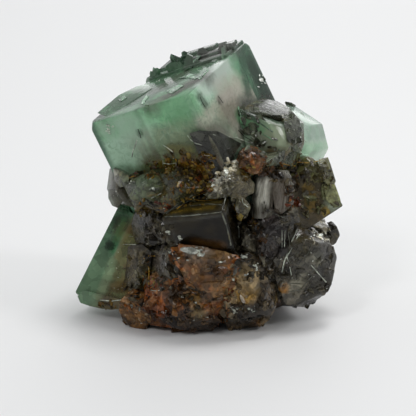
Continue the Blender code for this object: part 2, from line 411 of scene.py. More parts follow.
def makeCrackGroup():
    # fine lines between broken cells
    group, given, out = newGroup(
        "hairCracks",
        [("Vector", "Vector", None), ("Scale", "Float", 1.0), ("Width", "Float", 0.05), ("Warp", "Float", 0.6)],
        [("Mask", "Float")],
    )
    noise = addNode(group, "ShaderNodeTexNoise", {"Vector": given["Vector"], "Scale": given["Scale"], "Detail": 3})
    bent = addNode(group, "ShaderNodeVectorMath", {0: noise.outputs["Color"], "Scale": given["Warp"]}, operation="SCALE")
    moved = addNode(group, "ShaderNodeVectorMath", {0: given["Vector"], 1: bent.outputs[0]}, operation="ADD")
    cells = addNode(
        group, "ShaderNodeTexVoronoi", {"Vector": moved.outputs[0], "Scale": given["Scale"]}, feature="DISTANCE_TO_EDGE"
    )
    line = addMath(group, "DIVIDE", cells.outputs["Distance"], given["Width"], clamp=True)
    group.links.new(addMath(group, "SUBTRACT", 1.0, line), out.inputs["Mask"])
    return group


def makeStreakGroup():
    # fine streaks along Z of the given vector
    group, given, out = newGroup(
        "streaks",
        [("Vector", "Vector", None), ("Across", "Float", 4.0), ("Along", "Float", 0.25), ("Amount", "Float", 0.5)],
        [("Mask", "Float"), ("Height", "Float")],
    )
    parts = addNode(group, "ShaderNodeSeparateXYZ", {"Vector": given["Vector"]}).outputs
    across = addNode(group, "ShaderNodeCombineXYZ", {
        "X": addMath(group, "MULTIPLY", parts["X"], given["Across"]),
        "Y": addMath(group, "MULTIPLY", parts["Y"], given["Across"]),
        "Z": addMath(group, "MULTIPLY", parts["Z"], given["Along"]),
    })
    noise = addNoise(group, across.outputs[0], 1.0, 5, 0.6)
    low = addMath(group, "SUBTRACT", 0.72, addMath(group, "MULTIPLY", given["Amount"], 0.4))
    mask = addMath(group, "MULTIPLY", addMath(group, "SUBTRACT", noise, low), 6.0, clamp=True)
    group.links.new(mask, out.inputs["Mask"])
    group.links.new(noise, out.inputs["Height"])
    return group


def makeStrokeGroup():
    # a soft stroke between two points, with a wavy edge
    group, given, out = newGroup(
        "softStroke",
        [("Vector", "Vector", None), ("Start", "Vector", None), ("End", "Vector", None), ("Radius", "Float", 1.0),
         ("Soft", "Float", 0.5), ("Wave", "Float", 0.6), ("Scale", "Float", 0.8)],
        [("Mask", "Float")],
    )

    def vectors(operation, first, second):
        return addNode(group, "ShaderNodeVectorMath", {0: first, 1: second}, operation=operation).outputs

    whole = vectors("SUBTRACT", given["End"], given["Start"])[0]
    part = vectors("SUBTRACT", given["Vector"], given["Start"])[0]
    reach = vectors("DOT_PRODUCT", part, whole)["Value"]
    square = vectors("DOT_PRODUCT", whole, whole)["Value"]
    along = addMath(group, "DIVIDE", reach, square, clamp=True)
    nearest = addNode(group, "ShaderNodeVectorMath", {0: whole, "Scale": along}, operation="SCALE").outputs[0]
    far = vectors("DISTANCE", part, nearest)["Value"]
    noise = addNoise(group, given["Vector"], given["Scale"], 4)
    shift = addMath(group, "MULTIPLY", addMath(group, "SUBTRACT", noise, 0.5), given["Wave"])
    distance = addMath(group, "ADD", far, addMath(group, "MULTIPLY", shift, given["Radius"]))
    over = addMath(group, "SUBTRACT", given["Radius"], distance)
    soft = addMath(group, "MULTIPLY", given["Soft"], given["Radius"])
    mask = addMath(group, "ADD", addMath(group, "DIVIDE", over, soft), 0.5, clamp=True)
    group.links.new(mask, out.inputs["Mask"])
    return group


def makeFacetGroup():
    # broken facets: every cell leans its own way, and FacetShade, read from the same lean, is painted light and shade
    # for each cell
    group, given, out = newGroup(
        "brokenFacets", [("Vector", "Vector", None), ("Scale", "Float", 1.0), ("Warp", "Float", 0.3)],
        [("Height", "Float"), ("FacetShade", "Float")],
    )
    noise = addNode(group, "ShaderNodeTexNoise", {"Vector": given["Vector"], "Scale": given["Scale"], "Detail": 3})
    bent = addNode(group, "ShaderNodeVectorMath", {0: noise.outputs["Color"], "Scale": given["Warp"]}, operation="SCALE")
    moved = addNode(group, "ShaderNodeVectorMath", {0: given["Vector"], 1: bent.outputs[0]}, operation="ADD")
    cells = addNode(group, "ShaderNodeTexVoronoi", {"Vector": moved.outputs[0], "Scale": given["Scale"]}).outputs
    middle = {0: cells["Color"], 1: (0.5, 0.5, 0.5)}
    lean = addNode(group, "ShaderNodeVectorMath", middle, operation="SUBTRACT").outputs[0]
    inside = {0: moved.outputs[0], 1: cells["Position"]}
    part = addNode(group, "ShaderNodeVectorMath", inside, operation="SUBTRACT").outputs[0]
    height = addNode(group, "ShaderNodeVectorMath", {0: part, 1: lean}, operation="DOT_PRODUCT").outputs["Value"]
    group.links.new(addMath(group, "MULTIPLY", height, given["Scale"]), out.inputs["Height"])
    group.links.new(addNode(group, "ShaderNodeSeparateXYZ", {"Vector": cells["Color"]}).outputs["X"], out.inputs["FacetShade"])
    return group


def makeReliefGroup():
    # fine relief of a natural face: low waves, pits and grain
    group, given, out = newGroup(
        "fineRelief",
        [("Vector", "Vector", None), ("Waves", "Float", 0.35), ("Grain", "Float", 5.0), ("Grit", "Float", 0.3)],
        [("Height", "Float")],
    )
    waves = addNoise(group, given["Vector"], given["Waves"], 3)
    grain = addNoise(group, given["Vector"], given["Grain"], 4, 0.6)
    height = addMath(group, "ADD", waves, addMath(group, "MULTIPLY", grain, given["Grit"]))
    group.links.new(height, out.inputs["Height"])
    return group


print("shared effects")
growthZone = makeZoneGroup()
mottle = makeMottleGroup()
hairCracks = makeCrackGroup()
streaks = makeStreakGroup()
fineRelief = makeReliefGroup()
softStroke = makeStrokeGroup()
brokenFacets = makeFacetGroup()


def newMaterial(name):
    material = bpy.data.materials.new(name)
    material.use_nodes = True
    tree = material.node_tree
    return material, tree, tree.nodes["Principled BSDF"]


def crystalVector(tree, axes, sides):
    # millimetres along the crystal's own axes, from one of its corners
    place = addNode(tree, "ShaderNodeTexCoord")
    mapping = addNode(tree, "ShaderNodeMapping", {
        "Vector": place.outputs["Object"],
        "Location": cornerOf(axes, sides),
        "Rotation": axes["turn"].to_euler(),
        "Scale": (mm, mm, mm),
    }, vector_type="TEXTURE")
    return mapping.outputs[0]


def objectVector(tree):
    # millimetres from the middle of the foot
    place = addNode(tree, "ShaderNodeTexCoord")
    mapping = addNode(tree, "ShaderNodeMapping", {"Vector": place.outputs["Object"], "Scale": (1000, 1000, 1000)})
    return mapping.outputs[0]


def paintPlace(x, y, turnBack):
    place = seenAt(x, y)[0]
    if place is None:
        print("off the surface", x, y)
        place = Vector()
    return turnBack @ place / mm if turnBack else place / mm


def paintSpots(tree, vector, colour, spots, turnBack=None):
    # spots: photograph x and y, radius in mm, colour, and optionally softness, strength and the stroke's other end
    for x, y, radius, tint, *rest in spots:
        soft = rest[0] if rest else 0.5
        strength = rest[1] if len(rest) > 1 else 0.9
        end = rest[2] if len(rest) > 2 else (x, y)
        values = {
            "Vector": vector, "Start": paintPlace(x, y, turnBack), "End": paintPlace(*end, turnBack),
            "Radius": radius, "Soft": soft, "Wave": 1.1, "Scale": 1.6 / max(radius, 0.8),
        }
        mask = placeGroup(tree, softStroke, values)["Mask"]
        colour = addMix(tree, addMath(tree, "MULTIPLY", mask, strength), colour, tint)
    return colour


def clearShader(tree, shader, settings):
    # plain values of a see-through crystal, and the tint of its body
    shader.inputs["Transmission Weight"].default_value = settings["clear"]
    shader.inputs["IOR"].default_value = settings["ior"]
    shader.inputs["Specular IOR Level"].default_value = settings["gloss"]
    if settings["density"]:
        absorb = addNode(tree, "ShaderNodeVolumeAbsorption")
        absorb.inputs["Color"].default_value = settings["tint"]
        absorb.inputs["Density"].default_value = settings["density"]
        tree.links.new(absorb.outputs[0], tree.nodes["Material Output"].inputs["Volume"])


def addBump(tree, shader, height, strength, depth):
    values = {"Height": height, "Strength": strength, "Distance": depth * mm}
    bump = addNode(tree, "ShaderNodeBump", values)
    tree.links.new(bump.outputs[0], shader.inputs["Normal"])


# The pair of green cubes

greenPair = {
    "clear": 0.5, "ior": 1.434, "gloss": 0.2, "tint": tone(170, 215, 185), "density": 30,
    "green": tone(140, 214, 152), "paleGreen": tone(210, 250, 218), "rim": tone(100, 136, 112),
    "core": tone(170, 184, 150), "pink": tone(222, 216, 198), "teal": tone(88, 118, 96),
    # topSheen: painted grey of the dim reflection on the top face
    "olive": tone(92, 80, 36), "rust": tone(110, 70, 24), "topSheen": tone(86, 102, 86), "darkFace": tone(66, 66, 62),
    "sideGrey": tone(150, 156, 138), "sideBrown": tone(96, 84, 44),
    "spots": [
        # painted light: the large pale patch on the left face stands for light shining through the cube, the small one
        # for a white glint
        (130, 128, 3.2, tone(216, 250, 222), 1.2, 0.7), (106, 130, 1.4, tone(208, 236, 212), 0.9, 0.6),
        (122, 160, 2.0, tone(190, 226, 192), 1.2, 0.5),
        (204, 86, 1.9, tone(240, 255, 242), 0.9, 0.9, (227, 62)), (234, 56, 1.8, tone(120, 180, 136), 0.9, 0.75, (244, 78)),
        (150, 108, 1.6, tone(150, 214, 160), 1.0, 0.6, (188, 100)), (176, 120, 1.6, tone(120, 176, 126), 1.0, 0.5, (196, 108)),
        (152, 104, 1.6, tone(118, 108, 100), 1.0, 0.6, (202, 76)), (198, 58, 2.2, tone(120, 114, 114), 1.1, 0.6, (226, 48)),
        (118, 104, 1.6, tone(110, 136, 112), 1.0, 0.7, (140, 98)), (160, 88, 2.0, tone(112, 122, 104), 1.0, 0.7, (180, 76)),
        (170, 96, 1.4, tone(96, 92, 84), 1.2, 0.7, (204, 78)), (205, 104, 0.8, tone(60, 66, 54), 0.9, 0.7, (200, 97)),
        (220, 100, 0.7, tone(56, 60, 52), 0.9, 0.7), (224, 114, 1.6, tone(150, 140, 118), 1.1, 0.6, (236, 108)),
        (252, 66, 1.5, tone(56, 66, 58), 0.9, 0.8, (266, 94)), (238, 48, 0.5, tone(170, 200, 190), 0.9, 0.6),
        (240, 50, 1.0, tone(72, 96, 80), 0.9, 0.7, (248, 92)), (140, 133, 0.6, tone(60, 84, 56), 0.9, 0.7),
        (160, 158, 2.0, tone(92, 92, 56), 1.0, 0.75, (200, 142)), (176, 156, 1.7, tone(60, 52, 22), 0.8, 0.85, (210, 152)),
        (150, 168, 1.7, tone(92, 88, 36), 0.8, 0.9, (200, 162)), (172, 174, 1.6, tone(112, 78, 22), 0.8, 0.95, (212, 166)),
        (132, 174, 1.2, tone(118, 124, 88), 0.9, 0.7, (156, 172)), (170, 148, 0.7, tone(120, 104, 40), 0.8, 0.6, (190, 150)),
        (184, 160, 0.8, tone(140, 92, 20), 0.8, 0.8, (200, 168)), (158, 163, 0.6, tone(130, 110, 36), 0.8, 0.7, (172, 168)),
        (208, 132, 1.4, tone(100, 100, 84), 1.0, 0.6, (226, 128)), (240, 114, 0.9, tone(120, 170, 126), 0.8, 0.8, (246, 122)),
        (256, 122, 0.7, tone(150, 200, 156), 0.8, 0.8, (272, 131)), (277, 141, 1.7, tone(150, 156, 134), 0.8, 0.8),
        # painted shade: the dark stroke across the side cube's top holds down its reflection of the key light; painted
        # highlight: the pale round patch on its front face
        (250, 114, 1.6, tone(84, 90, 78), 0.9, 0.85, (276, 117)), (264, 134, 1.7, tone(200, 214, 180), 0.9, 0.75, (278, 137)),
        (248, 138, 1.2, tone(160, 170, 146), 0.9, 0.7, (262, 146)), (272, 156, 1.3, tone(130, 118, 76), 0.9, 0.7, (286, 157)),
        (222, 90, 1.8, tone(240, 232, 216), 0.9, 0.6, (236, 84)), (210, 54, 2.0, tone(150, 152, 146), 1.1, 0.7, (224, 50)), (296, 128, 0.9, tone(100, 92, 40), 0.9, 0.8, (299, 148)),
        (290, 116, 0.9, tone(84, 88, 70), 0.9, 0.7, (270, 106)), (268, 160, 1.2, tone(120, 96, 52), 0.9, 0.8, (290, 160)),
        # painted shade: a dark stroke on the side cube's top face against its reflection of the key light
        (246, 108, 1.8, tone(84, 88, 80), 1.0, 0.85, (276, 108)), (244, 130, 0.8, tone(90, 100, 84), 0.9, 0.6),
        (240, 118, 0.5, tone(150, 210, 156), 0.8, 0.8, (262, 130)), (262, 112, 0.6, tone(70, 74, 66), 0.8, 0.7, (284, 118)),
    ],
}


def makeGreenPairMaterial(axes, sideAxes):
    look = greenPair
    material, tree, shader = newMaterial("greenFluorite")
    vector = crystalVector(tree, axes, (0, 0, 0))
    parts = addNode(tree, "ShaderNodeSeparateXYZ", {"Vector": vector}).outputs
    half = (axes["high"] - axes["low"]) / 2 / mm
    fromTop = addMath(tree, "SUBTRACT", half.z, parts["Z"])
    fromLeft = addMath(tree, "ADD", parts["X"], half.x)
    fromRight = addMath(tree, "SUBTRACT", half.x, parts["X"])
    fromBack = addMath(tree, "SUBTRACT", half.y, parts["Y"])

    def zone(distance, depth, soft, wave, scale=0.35):
        values = {"Vector": vector, "Distance": distance, "Depth": depth, "Soft": soft, "Wave": wave, "Scale": scale}
        return placeGroup(tree, growthZone, values)["Mask"]

    clouds = placeGroup(tree, mottle, {"Vector": vector, "Scale": 0.28, "Amount": 0.5, "Soft": 0.3})["Mask"]
    # the core, pinkish behind the right face, and olive and rusty towards the bottom
    nearRight = zone(fromRight, 1.2, 0.8, 0.3)
    colour = addMix(tree, nearRight, look["core"], look["pink"])
    colour = addMix(tree, addMath(tree, "MULTIPLY", clouds, 0.35), colour, look["teal"])
    low = zone(addMath(tree, "ADD", parts["Z"], half.z), 8.6, 3.0, 5.0, 0.3)
    stain = placeGroup(tree, mottle, {"Vector": vector, "Scale": 0.55, "Amount": 0.5, "Soft": 0.1, "Warp": 1.2})["Mask"]
    lowColour = addMix(tree, stain, look["olive"], look["rust"])
    lowColour = addMix(tree, nearRight, lowColour, look["darkFace"])
    colour = addMix(tree, low, colour, lowColour)
    # green layers under the top, the left and the back face
    colour = addMix(tree, zone(fromLeft, 5.4, 2.4, 2.5), colour, look["paleGreen"])
    topZone = zone(fromTop, 3.4, 1.4, 1.6)
    topTint = addMix(tree, addMath(tree, "MAXIMUM", addMath(tree, "MULTIPLY", clouds, 0.6), nearRight),
                     look["green"], look["paleGreen"])
    colour = addMix(tree, topZone, colour, topTint)
    colour = addMix(tree, zone(fromBack, 4.6, 0.25, 0.4), colour, look["teal"])
    colour = addMix(tree, zone(fromLeft, 1.1, 0.8, 0.6), colour, look["rim"])
    # the top face and its steps painted grey, a painted dim reflection, and made rougher there
    normal = addNode(tree, "ShaderNodeTexCoord").outputs["Normal"]
    facing = {0: normal, 1: axes["turn"].col[2]}
    upward = addNode(tree, "ShaderNodeVectorMath", facing, operation="DOT_PRODUCT").outputs["Value"]
    steps = addMath(tree, "MULTIPLY", addMath(tree, "LESS_THAN", fromTop, -0.03), 0.7)
    topSheen = addMath(tree, "MAXIMUM", addRange(tree, upward, 0.8, 0.95, 0, 0.85), steps)
    topSheenPatches = placeGroup(tree, mottle, {"Vector": vector, "Scale": 0.35, "Amount": 0.75, "Soft": 0.35})["Mask"]
    colour = addMix(tree, addMath(tree, "MULTIPLY", topSheen, topSheenPatches), colour, look["topSheen"])
    # the cube that grows out of the right side
    sideVector = crystalVector(tree, sideAxes, (1, -1, 1))
    sideParts = addNode(tree, "ShaderNodeSeparateXYZ", {"Vector": sideVector}).outputs
    rightEnd = addMath(tree, "MULTIPLY", sideParts["X"], -1.0)
    inside = addMath(tree, "LESS_THAN", rightEnd, 10.6)
    inside = addMath(tree, "MULTIPLY", inside, addMath(tree, "LESS_THAN", sideParts["Z"], 0.4))
    inside = addMath(tree, "MULTIPLY", inside, addMath(tree, "GREATER_THAN", sideParts["Z"], -10.4))
    inside = addMath(tree, "MULTIPLY", inside, addMath(tree, "GREATER_THAN", fromRight, -20.0))
    outside = addMath(tree, "LESS_THAN", fromRight, -0.05)
    inside = addMath(tree, "MULTIPLY", inside, outside)
    sideColour = addMix(tree, clouds, look["sideGrey"], look["teal"])
    rimMask = placeGroup(tree, growthZone, {
        "Vector": sideVector, "Distance": rightEnd, "Depth": 1.6, "Soft": 1.2, "Wave": 2.0, "Scale": 0.5,
    })["Mask"]
    sideColour = addMix(tree, rimMask, sideColour, look["sideBrown"])
    colour = addMix(tree, inside, colour, sideColour)
    cracks = placeGroup(tree, hairCracks, {"Vector": vector, "Scale": 0.32, "Width": 0.012, "Warp": 1.5})["Mask"]
    colour = addMix(tree, addMath(tree, "MULTIPLY", cracks, 0.35), colour, tone(205, 220, 205))
    lines = placeGroup(tree, streaks, {"Vector": vector, "Across": 1.6, "Along": 0.12, "Amount": 0.4})["Mask"]
    colour = addMix(tree, addMath(tree, "MULTIPLY", lines, 0.35), colour, look["paleGreen"])
    veils = placeGroup(tree, mottle, {"Vector": vector, "Scale": 0.9, "Amount": 0.4, "Soft": 0.2, "Warp": 1.4})["Mask"]
    colour = addMix(tree, addMath(tree, "MULTIPLY", veils, 0.5), colour, look["rim"])
    colour = paintSpots(tree, objectVector(tree), colour, look["spots"])
    tree.links.new(colour, shader.inputs["Base Color"])
    wear = placeGroup(tree, mottle, {"Vector": vector, "Scale": 1.6, "Amount": 0.4, "Soft": 0.3})["Mask"]
    rough = addRange(tree, wear, 0, 1, 0.04, 0.16)
    rough = addMath(tree, "ADD", rough, addMath(tree, "MULTIPLY", topSheen, 0.14))
    tree.links.new(rough, shader.inputs["Roughness"])
    clearShader(tree, shader, look)
    relief = placeGroup(tree, fineRelief, {"Vector": vector, "Waves": 0.5, "Grain": 1.6, "Grit": 0.1})["Height"]
    addBump(tree, shader, relief, 0.35, 0.12)
    return material


# Other clear crystals: zones from the top and from the left, in millimetres

clearLooks = {
    "slabFluorite": {
        "clear": 0.5, "ior": 1.434, "facets": 0.2, "gloss": 0.35, "tint": tone(150, 190, 160), "density": 40, "leftDepth": 3.2,
        "topDepth": 0.4, "layer": tone(104, 150, 112), "layerDark": tone(74, 114, 84), "core": tone(146, 132, 92),
        "coreDark": tone(104, 92, 64),
        "edge": tone(160, 158, 128), "rough": 0.07, "waves": 0.4,
        "spots": [
            (132, 193, 1.0, tone(60, 120, 56), 0.6), (124, 202, 1.4, tone(40, 62, 36), 0.8, 0.8, (116, 226)),
            (108, 236, 1.6, tone(110, 142, 112), 0.8, 0.7, (100, 262)), (124, 220, 0.5, tone(96, 160, 106), 0.8, 0.7, (112, 250)),
            (110, 246, 0.8, tone(30, 46, 30), 0.6, 0.8), (100, 268, 2.2, tone(150, 186, 146), 0.9, 0.8, (88, 294)),
            (112, 262, 0.7, tone(176, 190, 150), 0.9, 0.6, (102, 292)), (132, 203, 1.5, tone(34, 40, 20), 0.8, 0.85),
            (128, 232, 2.0, tone(120, 96, 40), 0.9, 0.5), (140, 270, 1.6, tone(140, 104, 30), 0.8, 0.6),
            (126, 286, 1.4, tone(128, 96, 34), 0.8, 0.5, (146, 292)),
            (106, 306, 1.0, tone(150, 120, 30), 0.7, 0.8, (122, 308)),
        ],
    },
    "mintFluorite": {
        "clear": 0.5, "ior": 1.434, "facets": 0.06, "gloss": 0.4, "tint": tone(210, 235, 216), "density": 20, "leftDepth": 2.0, "topDepth": 1.6,
        "layer": tone(196, 212, 200), "layerDark": tone(184, 214, 192), "core": tone(222, 250, 224),
        "coreDark": tone(200, 236, 206), "edge": tone(226, 236, 228), "rough": 0.06, "waves": 0.5,
    },
    "oliveFluorite": {
        "clear": 0.45, "ior": 1.434, "facets": 0.35, "gloss": 0.25, "tint": tone(150, 145, 105), "density": 60, "leftDepth": 1.2, "topDepth": 1.6,
        "layer": tone(112, 112, 66), "layerDark": tone(92, 84, 46), "core": tone(96, 88, 70), "coreDark": tone(74, 66, 50),
        "edge": tone(130, 134, 92), "rough": 0.1, "waves": 0.5,
        "spots": [
            (318, 175, 1.0, tone(196, 196, 128), 0.8, 0.8), (326, 168, 2.2, tone(140, 148, 100), 0.9, 0.7),
            (333, 202, 1.4, tone(190, 204, 176), 0.7, 0.9), (325, 211, 0.7, tone(200, 168, 60), 0.6, 0.8),
            (312, 212, 2.0, tone(110, 92, 50), 0.8, 0.6), (322, 190, 1.5, tone(96, 88, 66), 0.8, 0.5),
            (334, 188, 0.8, tone(176, 180, 130), 0.7, 0.7), (308, 190, 1.0, tone(150, 120, 40), 0.6, 0.5, (312, 206)),
        ],
    },
    "greyFluorite": {
        "clear": 0.5, "ior": 1.434, "facets": 0.25, "gloss": 0.35, "tint": tone(160, 165, 140), "density": 60, "leftDepth": 1.4, "topDepth": 0.9,
        "layer": tone(120, 126, 108), "layerDark": tone(98, 110, 88), "core": tone(94, 96, 76), "coreDark": tone(74, 66, 36),
        "edge": tone(150, 156, 138), "rough": 0.12, "waves": 0.8,
    },
    "smokyFluorite": {
        "clear": 0.4, "ior": 1.434, "facets": 0.3, "gloss": 0.16, "tint": tone(90, 80, 60), "density": 160, "leftDepth": 0.9, "topDepth": 0.7,
        "layer": tone(66, 58, 30), "layerDark": tone(38, 34, 20), "core": tone(36, 31, 20), "coreDark": tone(24, 21, 14),
        "edge": tone(96, 96, 90), "rough": 0.08, "waves": 0.6,
        "spots": [
            (172, 212, 0.5, tone(120, 98, 34), 1.4, 0.6, (212, 207)), (180, 205, 0.3, tone(110, 96, 44), 1.4, 0.7, (220, 202)),
            (192, 199, 0.35, tone(120, 100, 36), 1.4, 0.6, (224, 197)), (170, 208, 0.6, tone(96, 98, 84), 1.4, 0.5, (186, 197)),
            (200, 204, 0.8, tone(66, 58, 26), 1.2, 0.7, (214, 203)), (196, 242, 0.7, tone(84, 56, 18), 1.2, 0.7, (222, 245)),
            (176, 226, 1.2, tone(60, 52, 28), 1.2, 0.5, (190, 222)), (210, 232, 1.0, tone(54, 46, 26), 1.2, 0.5),
        ],
    },
    "backFluorite": {
        "clear": 0.6, "ior": 1.434, "facets": 0.08, "gloss": 0.4, "tint": tone(150, 195, 165), "density": 45, "leftDepth": 2.6, "topDepth": 2.4,
        "layer": tone(120, 172, 130), "layerDark": tone(92, 138, 104), "core": tone(126, 132, 114),
        "coreDark": tone(96, 98, 84), "edge": tone(165, 190, 168), "rough": 0.07, "waves": 0.5,
    },
}


def makeClearMaterial(name, axes):
    look = clearLooks[name]
    material, tree, shader = newMaterial(name)
    vector = crystalVector(tree, axes, (-1, -1, 1))
    parts = addNode(tree, "ShaderNodeSeparateXYZ", {"Vector": vector}).outputs
    fromTop = addMath(tree, "MULTIPLY", parts["Z"], -1.0)
    clouds = placeGroup(tree, mottle, {"Vector": vector, "Scale": 0.4, "Amount": 0.5, "Soft": 0.3})["Mask"]
    colour = addMix(tree, clouds, look["core"], look["coreDark"])
    layer = addMix(tree, clouds, look["layer"], look["layerDark"])
    for distance, depth in ((parts["X"], look["leftDepth"]), (fromTop, look["topDepth"])):
        pale = placeGroup(tree, growthZone, {
            "Vector": vector, "Distance": distance, "Depth": depth + 0.35, "Soft": 0.5, "Wave": 0.6, "Scale": 0.5,
        })["Mask"]
        colour = addMix(tree, addMath(tree, "MULTIPLY", pale, 0.6), colour, look["edge"])
        mask = placeGroup(tree, growthZone, {
            "Vector": vector, "Distance": distance, "Depth": depth, "Soft": 0.5, "Wave": 0.8, "Scale": 0.5,
        })["Mask"]
        colour = addMix(tree, mask, colour, layer)
    cracks = placeGroup(tree, hairCracks, {"Vector": vector, "Scale": 0.5, "Width": 0.014, "Warp": 1.2})["Mask"]
    colour = addMix(tree, addMath(tree, "MULTIPLY", cracks, 0.3), colour, look["edge"])
    colour = paintSpots(tree, objectVector(tree), colour, look.get("spots", ()))
    broken = placeGroup(tree, brokenFacets, {"Vector": vector, "Scale": 0.9, "Warp": 0.8})
    # painted light and shade: each facet made lighter or darker with its lean
    light = addRange(tree, broken["FacetShade"], 0, 1, 1 - look["facets"], 1 + look["facets"])
    shade = addNode(tree, "ShaderNodeCombineXYZ", {"X": light, "Y": light, "Z": light}).outputs[0]
    colour = addMix(tree, 1.0, colour, shade, "MULTIPLY")
    tree.links.new(colour, shader.inputs["Base Color"])
    wear = placeGroup(tree, mottle, {"Vector": vector, "Scale": 1.8, "Amount": 0.4, "Soft": 0.3})["Mask"]
    tree.links.new(addRange(tree, wear, 0, 1, look["rough"], look["rough"] + 0.14), shader.inputs["Roughness"])
    clearShader(tree, shader, look)
    values = {"Vector": vector, "Waves": look["waves"], "Grain": 4.0, "Grit": 0.2}
    height = placeGroup(tree, fineRelief, values)["Height"]
    height = addMath(tree, "ADD", height, addMath(tree, "MULTIPLY", broken["Height"], look["facets"]))
    addBump(tree, shader, height, 0.35, 0.12 + look["facets"] * 0.4)
    return material


# Quartz and rock: mottled colours, stains, cracks and a wet gloss

